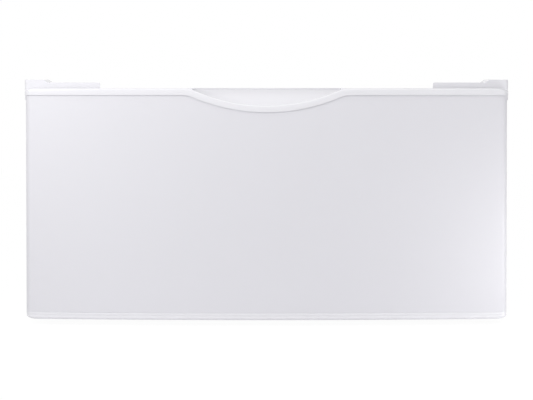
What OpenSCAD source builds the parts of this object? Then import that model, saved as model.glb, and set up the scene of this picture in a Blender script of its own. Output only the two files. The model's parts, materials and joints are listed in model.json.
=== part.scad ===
// Washer pedestal drawer: a folded steel cabinet that a washer stands on, with one
// full-width drawer on telescopic slides and four levelling feet.
// The front faces -Y, left and right are as seen from the front (left is -X), +Z is up,
// and the origin is on the floor, under the middle of the cabinet.

/* [Cabinet] */
// Width over the front corner caps
overall_w = 686; // [640:1:760]
// Depth from the middle of the bowed front to the screws on the back panel
overall_d = 720; // [640:1:860]
// Height of the deck above the floor, with the feet screwed right in
deck_h = 330; // [300:1:400]
// Height of the cabinet's bottom edge above the floor
base_z = 16; // [14:0.5:19]
// Thickness of the cabinet's sheet steel
sheet_t = 1.2; // [0.8:0.1:1.6]
// Width of the side panels' front flanges
front_flange_w = 20; // [14:1:24]
// Width of the side panels' top and rear flanges
flange_w = 16; // [12:1:20]
// Width of the side panels' bottom flanges
bottom_flange_w = 12; // [8:0.5:12]
// Height of the folds at the deck's front and rear edges
deck_fold_h = 12; // [8:1:20]
// Height of the cross rails
rail_h = 22; // [16:1:24]
// Depth of the cross rails from front to back
rail_d = 18; // [12:1:24]
// Depth of the stamped beads in the deck and the back
bead_depth = 4; // [2:0.5:5]
// Width of a stamped bead at its mouth
bead_w = 26; // [18:1:36]

/* [Washer mount] */
// Distance of the washer's bolt holes inside the caps' outer faces
bolt_side_inset = 48; // [40:1:56]
// Distance of the front bolt holes behind the front caps' front faces
bolt_front_inset = 58; // [48:0.1:62]
// Distance of the rear bolt holes ahead of the back panel
bolt_rear_inset = 65.9; // [50:0.1:70]
// Radius of the washer's bolt holes
bolt_hole_r = 4.5; // [3.5:0.1:6]

/* [Corner caps] */
// Width of a front corner cap
cap_w = 107; // [96:1:120]
// Width of a rear corner cap
rear_cap_w = 70; // [66:1:90]
// Length of a corner cap from front to back
cap_l = 100; // [92:1:120]
// Height of a cap's rest plate above the deck
cap_plate_h = 13; // [10:0.5:16]
// Height of a front cap's raised lip above the deck
cap_lip_h = 17; // [16:0.5:24]
// Width of the raised lip at its top
cap_lip_w = 27.5; // [20:0.5:32]
// Width of the slope between the lip and the rest plate
cap_slope_w = 5.4; // [3:0.1:8]
// Thickness of the skirt that hangs over the cabinet's edges
cap_skirt_t = 2; // [1.5:0.1:3]
// Height of that skirt below the deck
cap_skirt_h = 12; // [8:1:20]
// Wall thickness of a cap
cap_wall = 3; // [2:0.1:4]
// Radius of a cap's outer corner, seen from above
cap_corner_r = 4; // [3:0.5:4.5]
// Radius of the rest plate's inner end, seen from the front
cap_end_r = 2.5; // [1:0.5:4]

/* [Drawer front] */
// How far the front panel's sides stand in from the caps' outer faces
front_side_inset = 3.25; // [2:0.05:6]
// How far the middle of the front stands ahead of its side edges
front_bow = 26; // [16:1:36]
// Thickness of the drawer front at its side edges
front_edge_t = 22; // [18:1:30]
// Radius of the front's vertical edges
front_corner_r = 8; // [5:0.5:12]
// Gap between the floor and the bottom of the drawer front
front_gap = 9; // [6:0.5:16]
// How far the drawer front stands above the deck
front_rise = 5; // [2:0.5:9]
// Thickness of the front panel's steel
skin_t = 1.2; // [0.8:0.1:1.6]
// Width of the front panel's folds at the back
skin_fold_w = 15; // [12:1:18]
// Height of the band along the top
band_h = 10; // [8:0.5:14]
// How far the band stands out past the front panel
band_proud = 1.7; // [0.5:0.1:3]
// Thickness of the band's lip
lip_t = 6; // [4:0.5:8]
// Thickness of the band's top plate
band_top_t = 2.2; // [1.5:0.1:3]
// Height of the strip along the bottom
strip_h = 9.8; // [8:0.1:14]
// Wall thickness of the strip along the bottom
strip_wall = 3; // [2:0.1:3.5]
// Height of the tongues that hold the band and the strip behind the skin
tongue_h = 8; // [5:1:12]
// Thickness of those tongues
tongue_t = 2; // [1.2:0.1:3]
// Visible seam between the skin and its trims
seam = 0.3; // [0.1:0.1:0.6]
// Gap between the closed drawer front and the cabinet
front_to_cabinet = 6; // [5:0.5:12]

/* [Finger recess] */
// Width of the scoop in the band
scoop_w = 236; // [180:1:280]
// Depth of the scoop
scoop_depth = 24; // [16:0.5:30]
// Radius of the scoop's shoulders
shoulder_r = 46.5; // [30:0.5:60]
// Depth of the cup's floor below the lowest point of the scoop
cup_depth = 36; // [26:1:50]
// Wall thickness of the cup
cup_wall = 2; // [1.5:0.1:3]
// How far the cup reaches past the scoop at each end
cup_end = 8; // [6:1:20]
// Radius of the cup where its back wall meets its floor
cup_r = 14; // [8:1:18]

/* [Drawer box] */
// Gap between the drawer box and the back panel
box_rear_gap = 82.9; // [60:0.1:160]
// Gap between the drawer box and the rails under it
box_bottom_gap = 4.8; // [3:0.1:20]
// Gap between the drawer box and the rails over it
box_top_gap = 7.6; // [4:0.1:60]
// Thickness of the box's sheet steel
box_t = 1; // [0.8:0.1:1.4]
// Width of the box's folded flanges
box_flange = 12; // [10:1:14]
// Height of the folds under the edges of the box's bottom
floor_fold = 10; // [8:0.5:14]
// Width of the hems along the box's top edges
hem_w = 6; // [4:0.5:8]
// Depth of the stamped beads in the box's bottom
box_bead_depth = 1.5; // [1:0.1:1.6]

/* [Slides] */
// How far the slides end ahead of the box's back
slide_end_gap = 23; // [15:1:50]
// Height of a slide
slide_h = 45; // [42:0.5:52]
// Thickness of a closed slide
slide_t = 12.7; // [12.6:0.1:16]
// Height of the slides' centre line above the box's bottom edge
slide_rise = 106; // [70:1:160]
// Thickness of the slides' steel
member_t = 1.2; // [1:0.1:1.4]
// How much of a slide's length the open drawer doesn't use
slide_spare = 90; // [60:1:160]
// Radius of the bearing balls
ball_r = 2; // [1.6:0.1:2.2]
// Number of balls in a row
balls_per_row = 7; // [5:1:9]
// Spacing of the balls in a row
ball_pitch = 38; // [20:1:40]
// Thickness of a ball cage
cage_t = 0.6; // [0.4:0.1:0.6]
// Thickness of the brackets that carry the slides
bracket_t = 1.5; // [1.2:0.1:2.5]
// Depth of those brackets, from the side panel to the slide
bracket_d = 27.1; // [24:0.1:50]

/* [Feet] */
// Distance of a foot's axis inside the side panel's outer face
foot_inset = 23; // [22:0.5:26]
// Distance of the front feet behind the cabinet's front
front_foot_y = 101; // [90:1:140]
// Distance of the rear feet ahead of the back panel
rear_foot_y = 70; // [60:1:120]
// Height of the foot brackets' plates above the floor
foot_plate_z = 20; // [20:0.5:26]
// Thickness of the foot brackets
foot_plate_t = 2.5; // [2:0.1:4]
// Radius of a foot's thread
stud_r = 5; // [4:0.5:5]
// Height of the top of a foot's stud above the floor
stud_top = 58; // [50:1:70]
// Radius of a rubber pad on the floor
pad_r = 16; // [14:0.5:20]
// Height of a rubber pad
pad_h = 8.8; // [8:0.1:10]
// Thickness of a lock nut
lock_nut_h = 5.8; // [4:0.1:6]
// Height of a weld nut
weld_nut_h = 8; // [6:0.5:10]
// Radius over the corners of the nuts
nut_r = 9.5; // [8.5:0.1:9.6]

/* [Fasteners] */
// Radius of the screws' shanks
screw_r = 1.9; // [1.5:0.1:2.2]
// Radius of the screws' heads
head_r = 4; // [3.5:0.1:4.5]
// Height of the screws' heads
head_h = 2.4; // [1.6:0.1:2.8]
// Length of the sheet metal screws
screw_l = 8; // [6:0.5:10]
// Radius of the rubber bumpers
bumper_r = 5; // [3:0.5:6]

/* [Clearances] */
// Gap round a screw in its hole
screw_fit = 0.2; // [0.1:0.05:0.4]
// Gap round a stud in its nuts
thread_fit = 0.08; // [0.03:0.01:0.1]
// Gap between a foot and its pad, or its stop
foot_fit = 0.15; // [0.05:0.05:0.2]
// Gap between a ball and its raceways
ball_fit = 0.15; // [0.05:0.05:0.2]
// Gap between the closed drawer front and its bumpers
bumper_fit = 0.3; // [0.2:0.1:0.6]

/* [Hidden] */
$fn = 48;
LEFT = -1;
RIGHT = 1;
FRONT = -1;
REAR = 1;
far = 2000; // longer than any cut needs
over = 1;   // how far a cut runs past a face

WHITE = [0.95, 0.95, 0.97];
TRIM_WHITE = [0.97, 0.97, 0.98];
BOX_GREY = [0.86, 0.87, 0.88];
ZINC = [0.72, 0.74, 0.76];
BALL_STEEL = [0.85, 0.86, 0.88];
BLACK_RUBBER = [0.12, 0.12, 0.13];

// The planes that everything is set out from
half_w = overall_w / 2;
bow_y = -overall_d / 2 + band_proud;
back_y = overall_d / 2 - head_h;
front_hw = half_w - front_side_inset;
front_back_y = bow_y + front_bow + front_edge_t;
front_top_z = deck_h + front_rise;
cab_hw = half_w - cap_skirt_t;
cab_front = front_back_y + front_to_cabinet;
cab_back = back_y - sheet_t;
deck_under = deck_h - sheet_t;
flange_under = deck_under - sheet_t;
cab_inner = cab_hw - sheet_t;
base_rail_z = base_z + sheet_t;
top_rail_z = flange_under - rail_h;

// Bowed front
bow_r = (front_hw * front_hw + front_bow * front_bow) / (2 * front_bow);
bow_cy = bow_y + bow_r;
bow_steps = 24;
corner_steps = 6;
skin_z0 = front_gap + strip_h + seam;
inner_rear_y = front_back_y - skin_t;
inner_front_y = inner_rear_y - skin_t;

// Scoop: a wide arc that runs into two shoulder arcs
scoop_hw = scoop_w / 2;
scoop_r = (scoop_hw * scoop_hw + scoop_depth * scoop_depth) / (2 * scoop_depth) - shoulder_r;
scoop_angle = asin(scoop_hw / (scoop_r + shoulder_r));
scoop_cz = front_top_z - scoop_depth + scoop_r;
shoulder_cz = front_top_z - shoulder_r;
scoop_steps = 20;
cup_hw = scoop_hw + cup_end;
cup_top_z = front_top_z - band_top_t;
cup_floor_z = front_top_z - scoop_depth - cup_depth;
cup_back_y = inner_front_y - cup_wall;
cup_front_inset = lip_t - band_proud;

// Drawer box
bracket_x = cab_inner - bracket_d;
box_hw = bracket_x - slide_t;
box_inner = box_hw - box_t;
box_front = inner_rear_y;
box_back = cab_back - box_rear_gap;
box_end_y = box_back - box_flange;
box_z = base_rail_z + rail_h + box_bottom_gap;
box_floor_z = box_z + floor_fold;
box_top = top_rail_z - box_top_gap;

// Slide sections, from the drawer's side (0) to the bracket (slide_t)
slide_z = box_z + slide_rise;
slide_y0 = box_front + box_flange;
slide_l = box_back - slide_end_gap - slide_y0;
travel = slide_l - slide_spare;
race_gap = 2 * (ball_r + ball_fit);
outer_hh = slide_h / 2;
middle_hh = outer_hh - member_t - race_gap;
inner_hh = middle_hh - member_t - race_gap;
lip_gap = 1.6;   // from the drawer's side to the outer member's lips
lip_drop = 3;    // depth of those lips
cage_gap = 0.55; // between a cage and the members beside it
arm_gap = 0.6;   // between the outer member's lips and the middle member's arms
pocket_fit = 0.1;
outer_web = slide_t - member_t;
outer_cage_web = outer_web - cage_gap - cage_t;
middle_web = outer_cage_web - cage_gap - member_t;
middle_arm = lip_gap + arm_gap;
inner_cage_web = middle_web - cage_gap - cage_t;
inner_arm = inner_cage_web - cage_gap;
outer_ball_u = 6.4;
inner_ball_u = 4.2;
cage_reach = ball_r + cage_t;
cage_l = (balls_per_row - 1) * ball_pitch + 4 * ball_r;
cage_y0 = slide_y0 + travel / 4 + (slide_l - travel / 2 - cage_l) / 2;
slide_hole_ys = [for (k = [0.06, 0.35, 0.64, 0.94]) slide_y0 + k * slide_l];
hat_margin = 4;  // how far a bracket's hat reaches past its slide
hat_hh = outer_hh + hat_margin;
hat_foot = 15;   // width of the bracket's welded feet

// Feet
foot_x = cab_hw - foot_inset;
foot_front_y = cab_front + front_foot_y;
foot_rear_y = back_y - rear_foot_y;
bracket_hl = 38; // half of a foot bracket's length
bracket_margin = 2;
bracket_x0 = foot_x - nut_r - bracket_margin;
bracket_leg_h = 36;
stud_hole_r = stud_r + 0.5;
lock_nut_z = foot_plate_z - lock_nut_h;
collar_top = lock_nut_z - foot_fit;
collar_z = pad_h + foot_fit;
disc_r = 8;      // the stud's disc, which turns in the pad
disc_h = 2.4;
disc_z = 5;
pad_rim_h = 3;
pad_edge = 1;
pad_top_r = 0.72 * pad_r;

// Fastener places
hole_r = screw_r + screw_fit;
deck_screw_inset = cap_l + 30;
deck_screw_ys = row(cab_front + deck_screw_inset, cab_back - deck_screw_inset, 4);
deck_screw_x = cab_hw - (flange_w + sheet_t) / 2;
back_screw_zs = row(base_rail_z + rail_h / 2, top_rail_z + rail_h / 2, 5);
back_screw_x = deck_screw_x;
back_top_xs = [-cab_hw * 0.55, 0, cab_hw * 0.55];
back_top_z = deck_h - deck_fold_h / 2 - sheet_t;
front_screw_inset = 50;
front_screw_zs = row(skin_z0 + front_screw_inset, front_top_z - band_h - front_screw_inset, 4);
front_screw_x = front_hw - skin_t - skin_fold_w / 2;
slide_clear = 13.5; // from a slide's edge to the box's screws
box_screw_inset = 16;
box_front_zs = [box_z + box_screw_inset, slide_z - outer_hh - slide_clear,
                slide_z + outer_hh + 2 * slide_clear, box_top - box_screw_inset - hem_w];
box_front_x = box_hw + box_flange / 2;
box_back_zs = [box_z + 2 * box_screw_inset, slide_z + outer_hh + 2 * slide_clear,
               box_top - 2 * box_screw_inset];
box_back_screw_y = box_back - box_flange / 2;
box_bottom_inset = 60;
box_bottom_ys = row(box_front + box_bottom_inset, box_end_y - box_bottom_inset, 4);
box_bottom_screw_z = box_z + floor_fold / 2;
bumper_offset = 24; // of a bumper past the outermost front screw
bumper_zs = [front_screw_zs[0] - bumper_offset, front_screw_zs[3] + bumper_offset];
bumper_base_t = 1.5;
bumper_taper = 1;

// Places of the washer's bolts: [x, y]
cap_front_y = cab_front - cap_skirt_t;
bolt_x = half_w - bolt_side_inset;
bolt_front_y = cap_front_y + bolt_front_inset;
bolt_rear_y = back_y - bolt_rear_inset;
bolt_points = [for (sx = [-1, 1]) for (y = [bolt_front_y, bolt_rear_y]) [sx * bolt_x, y]];

// Places of a cap's two screws, in from its outer corner: [x, y]
head_fit = 0.6; // round a screw's head in the cap's counterbore
function cap_screw_insets(w) = [[25, cap_l - 22], [w - 21, 34]];
function cap_screw_points(side, row) =
    let (w = row == FRONT ? cap_w : rear_cap_w, y0 = row == FRONT ? cap_front_y : back_y)
    [for (p = cap_screw_insets(w)) [side * (half_w - p[0]), y0 - row * p[1]]];
cap_screw_list = [for (s = [LEFT, RIGHT]) for (r = [FRONT, REAR]) each cap_screw_points(s, r)];
cap_shelf = 4;

// n places at equal steps from a to b
function row(a, b, n) = [for (i = [0:n - 1]) a + i * (b - a) / (n - 1)];

// ---- Outlines ----

function arc(cx, cy, r, a0, a1, n) =
    [for (i = [0:n]) let (a = a0 + (a1 - a0) * i / n) [cx + r * cos(a), cy + r * sin(a)]];

// Plan of the drawer front, grown by g all round, closed at the back by y1
function front_plan(g, y1) =
    let (
        hw = front_hw + g,
        rc = front_corner_r + g,
        r = bow_r + g,
        fx = hw - rc,
        fy = bow_cy - sqrt((r - rc) * (r - rc) - fx * fx),
        a = asin(fx / (r - rc)),
        bow = arc(0, bow_cy, r, 270 - a, 270 + a, bow_steps)
    )
    concat(
        arc(-fx, fy, rc, 180, 270 - a, corner_steps),
        [for (i = [1:bow_steps - 1]) bow[i]],
        arc(fx, fy, rc, 270 + a, 360, corner_steps),
        [[hw, y1], [-hw, y1]]
    );

// The scoop's line, seen from the front, at a depth of d below the band's top edge
function scoop_line(d) =
    let (
        rs = shoulder_r - d,
        a = scoop_angle,
        wide = arc(0, scoop_cz, scoop_r + d, 270 - a, 270 + a, scoop_steps)
    )
    concat(
        arc(-scoop_hw, shoulder_cz, rs, 90, 90 - a, corner_steps),
        [for (i = [1:scoop_steps - 1]) wide[i]],
        arc(scoop_hw, shoulder_cz, rs, 90 + a, 90, corner_steps)
    );

// ---- Shared shapes ----

// A box between two corners
module block(lo, hi) {
    translate(lo) cube(hi - lo);
}

// A profile drawn in X and Z, drawn out from y0 to y1
module along_y(y0, y1) {
    translate([0, y1, 0]) rotate([90, 0, 0]) linear_extrude(height = y1 - y0) children();
}

// A profile drawn in Y and Z, drawn out from x0 to x1
module along_x(x0, x1) {
    translate([x0, 0, 0]) rotate([90, 0, 90]) linear_extrude(height = x1 - x0) children();
}

// A profile drawn in X and Y, drawn out from z0 to z1
module along_z(z0, z1) {
    translate([0, 0, z0]) linear_extrude(height = z1 - z0) children();
}

// What is drawn on the right, placed on the given side
module on_side(side) {
    if (side == RIGHT) children();
    else mirror([1, 0, 0]) children();
}

// A front-view region: everything above the scoop's line at depth d
module above_scoop(d, y0, y1) {
    z = front_top_z - d;
    along_y(y0, y1) polygon(concat(scoop_line(d), [[far, z], [far, far], [-far, far], [-far, z]]));
}

// A slab of the drawer front's plan, grown by g
module front_slab(g, y1, z0, z1) {
    along_z(z0, z1) polygon(front_plan(g, y1));
}

// A stamped bead's trough, mouth up, along X and centred
module trough(l, w, d) {
    rotate([0, 0, 90]) along_y(-l / 2, l / 2)
        polygon([[-w / 2, over], [-w / 2, 0], [d - w / 2, -d], [w / 2 - d, -d], [w / 2, 0], [w / 2, over]]);
}

// The steel round a bead's trough, up to the sheet's far face
module bead_metal(l, w, d, t) {
    rotate([0, 0, 90]) along_y(-l / 2 - t, l / 2 + t)
        polygon([[-w / 2 - t, 0], [d - w / 2 - t / 2, -d - t], [w / 2 - d + t / 2, -d - t], [w / 2 + t, 0]]);
}

// A screw that points down, the underside of its head at the origin
module screw(l) {
    cylinder(r = head_r, h = head_h);
    translate([0, 0, -l]) cylinder(r = screw_r, h = l);
}

// A screw's hole, along Z through the origin
module screw_hole(depth = 6) {
    cylinder(r = hole_r, h = 2 * depth, center = true);
}

module facing_y() {
    rotate([-90, 0, 0]) children();
}

module facing_x() {
    rotate([0, 90, 0]) children();
}

// A channel-shaped slide section: a web and two arms, drawn in X and Z
module channel_2d(web_in, web_out, arm_end, hh, t) {
    polygon([
        [web_out, -hh], [web_out, hh], [arm_end, hh], [arm_end, hh - t],
        [web_in, hh - t], [web_in, -hh + t], [arm_end, -hh + t], [arm_end, -hh]
    ]);
}

// ---- Cabinet ----

module side_panel(side) {
    color(WHITE) on_side(side) difference() {
        union() {
            block([cab_inner, cab_front, base_z], [cab_hw, cab_back, deck_under]);
            block([cab_hw - front_flange_w, cab_front, base_z], [cab_hw, cab_front + sheet_t, deck_under]);
            block([cab_hw - flange_w, cab_back - sheet_t, base_z], [cab_hw, cab_back, deck_under]);
            block([cab_hw - flange_w, cab_front, flange_under], [cab_hw, cab_back, deck_under]);
            block([cab_hw - bottom_flange_w, cab_front, base_z], [cab_hw, cab_back, base_z + sheet_t]);
        }
        for (y = deck_screw_ys) translate([deck_screw_x, y, deck_under]) screw_hole();
        for (z = back_screw_zs) translate([back_screw_x, cab_back, z]) facing_y() screw_hole();
        for (z = bumper_zs) translate([front_screw_x, cab_front, z]) facing_y() screw_hole();
    }
}

module back_panel() {
    bead_margin = 60;
    bead_l = 2 * (cab_hw - bead_margin);
    third = (deck_h - base_z) / 3;
    bead_zs = [base_z + third, deck_h - third];
    color(WHITE) difference() {
        union() {
            block([-cab_hw, cab_back, base_z], [cab_hw, back_y, deck_h]);
            for (z = bead_zs) translate([0, back_y, z]) facing_y()
                bead_metal(bead_l, bead_w, bead_depth, sheet_t);
        }
        for (z = bead_zs) translate([0, back_y, z]) facing_y() trough(bead_l, bead_w, bead_depth);
        back_screw_holes();
    }
}

module top_deck() {
    fold_hw = cab_hw - front_flange_w - over;
    rear_fold_hw = cab_hw - flange_w - over;
    fold_z = deck_h - deck_fold_h;
    bead_margin = 15;
    bead_inset = 60;
    bead_l = 2 * (cab_hw - cap_w - bead_margin);
    bead_ys = row(cab_front + bead_inset, cab_back - bead_inset, 6);
    color(WHITE) difference() {
        union() {
            block([-cab_hw, cab_front, deck_under], [cab_hw, cab_back, deck_h]);
            block([-fold_hw, cab_front, fold_z], [fold_hw, cab_front + sheet_t, deck_h]);
            block([-rear_fold_hw, cab_back - sheet_t, fold_z], [rear_fold_hw, cab_back, deck_h]);
            for (y = bead_ys) translate([0, y, deck_h]) bead_metal(bead_l, bead_w, bead_depth, sheet_t);
        }
        for (y = bead_ys) translate([0, y, deck_h]) trough(bead_l, bead_w, bead_depth);
        for (p = bolt_points) translate([p[0], p[1], deck_h])
            cylinder(r = bolt_hole_r, h = 4 * sheet_t, center = true);
        for (p = cap_screw_list) translate([p[0], p[1], deck_h]) screw_hole();
        for (s = [-1, 1]) for (y = deck_screw_ys) translate([s * deck_screw_x, y, deck_h]) screw_hole();
        for (x = back_top_xs) translate([x, cab_back, back_top_z]) facing_y() screw_hole();
    }
}

// A folded channel across the cabinet, its web behind the flanges at y, its arms pointing inwards
module cross_rail(row, z0) {
    web_y = row == FRONT ? cab_front + sheet_t : cab_back - sheet_t;
    d = -row;
    color(WHITE) difference() {
        along_x(-cab_inner, cab_inner) translate([web_y, z0]) polygon([
            [0, 0], [d * rail_d, 0], [d * rail_d, sheet_t], [d * sheet_t, sheet_t],
            [d * sheet_t, rail_h - sheet_t], [d * rail_d, rail_h - sheet_t], [d * rail_d, rail_h], [0, rail_h]
        ]);
        if (row == REAR) back_screw_holes();
    }
}

// The holes that the back panel's screws pass
module back_screw_holes() {
    for (s = [-1, 1]) for (z = back_screw_zs)
        translate([s * back_screw_x, cab_back, z]) facing_y() screw_hole();
    for (x = back_top_xs) translate([x, cab_back, back_top_z]) facing_y() screw_hole();
}

// A gusset that carries a foot, welded to the side panel
module foot_bracket(side, row) {
    y = row == FRONT ? foot_front_y : foot_rear_y;
    top = foot_plate_z + foot_plate_t;
    color(ZINC) on_side(side) difference() {
        union() {
            block([bracket_x0, y - bracket_hl, foot_plate_z], [cab_inner, y + bracket_hl, top]);
            block([cab_inner - foot_plate_t, y - bracket_hl, foot_plate_z],
                  [cab_inner, y + bracket_hl, foot_plate_z + bracket_leg_h]);
            for (s = [-1, 1]) along_y(y + s * (bracket_hl - foot_plate_t / 2) - foot_plate_t / 2,
                                      y + s * (bracket_hl - foot_plate_t / 2) + foot_plate_t / 2)
                polygon([[bracket_x0, top - over], [cab_inner, top - over],
                         [cab_inner, foot_plate_z + bracket_leg_h], [bracket_x0, top]]);
        }
        translate([foot_x, y, foot_plate_z]) cylinder(r = stud_hole_r, h = 8 * foot_plate_t, center = true);
    }
}

// A hexagon nut with its bore, its underside at the origin
module nut(h) {
    difference() {
        cylinder(r = nut_r, h = h, $fn = 6);
        translate([0, 0, -over]) cylinder(r = stud_r + thread_fit, h = h + 2 * over);
    }
}

// The same nut at all four feet
module four_nuts(z, h) {
    color(ZINC) for (s = [-1, 1]) for (y = [foot_front_y, foot_rear_y]) translate([s * foot_x, y, z]) nut(h);
}

module foot_weld_nuts() {
    four_nuts(foot_plate_z + foot_plate_t, weld_nut_h);
}

module foot_lock_nuts() {
    four_nuts(lock_nut_z, lock_nut_h);
}

// A hat channel from the side panel to the slide
module slide_bracket(side) {
    t = bracket_t;
    x0 = bracket_x;
    x1 = cab_inner;
    h = hat_hh;
    color(ZINC) on_side(side) difference() {
        along_y(slide_y0, slide_y0 + slide_l) translate([0, slide_z]) polygon([
            [x0, -h], [x1 - t, -h], [x1 - t, -h - hat_foot], [x1, -h - hat_foot],
            [x1, -h + t], [x0 + t, -h + t], [x0 + t, h - t], [x1, h - t],
            [x1, h + hat_foot], [x1 - t, h + hat_foot], [x1 - t, h], [x0, h]
        ]);
        for (y = slide_hole_ys) translate([x0, y, slide_z]) facing_x() screw_hole();
    }
}

// The outline of a corner cap, seen from the front: its top face is set in by g
module cap_2d(w, lip_h, g) {
    x0 = half_w - w + g;
    x1 = half_w - g;
    top = deck_h + cap_plate_h - g;
    lip_top = deck_h + lip_h - g;
    r = cap_end_r;
    slope = lip_h > cap_plate_h ?
        [[half_w - cap_lip_w - cap_slope_w + g / 2, top], [half_w - cap_lip_w + g / 2, lip_top]] : [];
    polygon(concat(
        [[x1, deck_h - g], [x0, deck_h - g]],
        arc(x0 + r, top - r, r, 180, 90, corner_steps),
        slope,
        [[x1, lip_top]]
    ));
}

// A corner cap: a hollow plastic rest for the washer, with a skirt over the cabinet's edges
module corner_cap(side, row) {
    w = row == FRONT ? cap_w : rear_cap_w;
    lip_h = row == FRONT ? cap_lip_h : cap_plate_h;
    y0 = row == FRONT ? cap_front_y : back_y - cap_l;
    y1 = y0 + cap_l;
    outer_y = row == FRONT ? y0 : y1;
    r = cap_corner_r;
    bolt_y = row == FRONT ? bolt_front_y : bolt_rear_y;
    color(TRIM_WHITE) on_side(side) difference() {
        intersection() {
            union() {
                difference() {
                    along_y(y0, y1) cap_2d(w, lip_h, 0);
                    along_y(y0 + cap_wall, y1 - cap_wall) cap_2d(w, lip_h, cap_wall);
                }
                block([cab_hw, y0, deck_h - cap_skirt_h], [half_w, y1, deck_h + over]);
                if (row == FRONT)
                    block([half_w - w, y0, deck_h - cap_skirt_h], [half_w, cab_front, deck_h + over]);
                translate([bolt_x, bolt_y, deck_h])
                    cylinder(r = bolt_hole_r + 2 * cap_wall, h = cap_plate_h);
                for (p = cap_screw_points(RIGHT, row)) translate([p[0], p[1], deck_h])
                    cylinder(r = head_r + cap_wall, h = cap_plate_h);
            }
            // The rounded outer corner
            along_z(0, far) union() {
                translate([half_w - w, y0 + (row == FRONT ? r : 0)]) square([w, cap_l - r]);
                translate([half_w - w, y0]) square([w - r, cap_l]);
                translate([half_w - r, outer_y - row * r]) circle(r = r);
            }
        }
        translate([bolt_x, bolt_y, deck_h]) cylinder(r = bolt_hole_r, h = 4 * cap_lip_h, center = true);
        for (p = cap_screw_points(RIGHT, row)) translate([p[0], p[1], deck_h]) {
            screw_hole(cap_lip_h);
            translate([0, 0, cap_shelf]) cylinder(r = head_r + head_fit, h = 2 * cap_lip_h);
        }
    }
}

module drawer_bumpers() {
    plug_r = hole_r - screw_fit;
    color(BLACK_RUBBER) for (s = [-1, 1]) for (z = bumper_zs)
        translate([s * front_screw_x, cab_front, z]) rotate([90, 0, 0]) {
            cylinder(r = bumper_r, h = bumper_base_t);
            cylinder(r = bumper_r - bumper_taper, h = front_to_cabinet - bumper_fit);
            translate([0, 0, -sheet_t - over]) cylinder(r = plug_r, h = sheet_t + over);
        }
}

module cabinet_screws() {
    color(ZINC) {
        for (s = [-1, 1]) for (y = deck_screw_ys) translate([s * deck_screw_x, y, deck_h]) screw(screw_l);
        for (s = [-1, 1]) for (z = back_screw_zs)
            translate([s * back_screw_x, back_y, z]) facing_y() screw(screw_l);
        for (x = back_top_xs) translate([x, back_y, back_top_z]) facing_y() screw(screw_l);
    }
}

module cap_screws() {
    color(ZINC) for (p = cap_screw_list)
        translate([p[0], p[1], deck_h + cap_shelf]) screw(cap_shelf + screw_l);
}

// ---- Slides ----

// A slide's part, drawn in the section's own axes and drawn out from y0 over a length
module slide_part(side, y0, l) {
    on_side(side) along_y(y0, y0 + l) translate([box_hw, slide_z]) children();
}

// The countersunk holes that fix the outer member to its bracket
module slide_countersink(side) {
    on_side(side) for (y = slide_hole_ys) translate([bracket_x - member_t, y, slide_z]) facing_x() children();
}

module slide_outer(side) {
    color(ZINC) difference() {
        slide_part(side, slide_y0, slide_l) union() {
            channel_2d(outer_web, slide_t, lip_gap, outer_hh, member_t);
            for (s = [-1, 1]) translate([lip_gap + member_t / 2, s * (outer_hh - lip_drop / 2)])
                square([member_t, lip_drop], center = true);
        }
        slide_countersink(side) {
            translate([0, 0, -over]) cylinder(r = hole_r, h = member_t + 2 * over);
            cylinder(r1 = head_r, r2 = hole_r, h = member_t);
        }
    }
}

module slide_screws() {
    color(ZINC) for (side = [LEFT, RIGHT]) slide_countersink(side) {
        cylinder(r1 = head_r - screw_fit, r2 = screw_r, h = member_t);
        cylinder(r = screw_r, h = member_t + bracket_t + 4);
    }
}

module slide_middle(side) {
    color(ZINC) slide_part(side, slide_y0, slide_l)
        channel_2d(middle_web, middle_web + member_t, middle_arm, middle_hh, member_t);
}

module slide_inner(side) {
    color(ZINC) difference() {
        slide_part(side, slide_y0, slide_l) channel_2d(member_t, 0, inner_arm, inner_hh, member_t);
        on_side(side) for (y = slide_hole_ys) translate([box_hw, y, slide_z]) facing_x() screw_hole();
    }
}

// Places of a cage's balls along the slide
function ball_ys() = [for (i = [0:balls_per_row - 1]) cage_y0 + 2 * ball_r + i * ball_pitch];

// A ball cage: a thin channel with a round pocket for each ball
module ball_cage(side, web, ball_u, row_v) {
    color(BALL_STEEL) difference() {
        slide_part(side, cage_y0, cage_l)
            channel_2d(web, web + cage_t, ball_u - cage_reach, row_v + cage_t / 2, cage_t);
        on_side(side) for (y = ball_ys()) translate([box_hw + ball_u, y, slide_z])
            cylinder(r = ball_r + pocket_fit, h = far, center = true);
    }
}

module ball_rows(side, ball_u, row_v) {
    color(BALL_STEEL) on_side(side) for (y = ball_ys()) for (s = [-1, 1])
        translate([box_hw + ball_u, y, slide_z + s * row_v]) sphere(r = ball_r);
}

module slide_outer_cage(side) {
    ball_cage(side, outer_cage_web, outer_ball_u, middle_hh + race_gap / 2);
}

module slide_inner_cage(side) {
    ball_cage(side, inner_cage_web, inner_ball_u, inner_hh + race_gap / 2);
}

module slide_outer_balls(side) {
    ball_rows(side, outer_ball_u, middle_hh + race_gap / 2);
}

module slide_inner_balls(side) {
    ball_rows(side, inner_ball_u, inner_hh + race_gap / 2);
}

// ---- Drawer front ----

module front_panel() {
    slot_hw = front_hw - skin_t - skin_fold_w;
    color(WHITE) difference() {
        front_slab(0, front_back_y, skin_z0, front_top_z);
        front_slab(-skin_t, front_back_y - skin_t, skin_z0 - over, front_top_z + over);
        block([-slot_hw, front_back_y - skin_t - over, 0], [slot_hw, front_back_y + over, far]);
        above_scoop(band_h + seam, bow_y - over, 0);
        for (s = [-1, 1]) for (z = front_screw_zs)
            translate([s * front_screw_x, front_back_y, z]) facing_y() screw_hole(4);
    }
}

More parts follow.
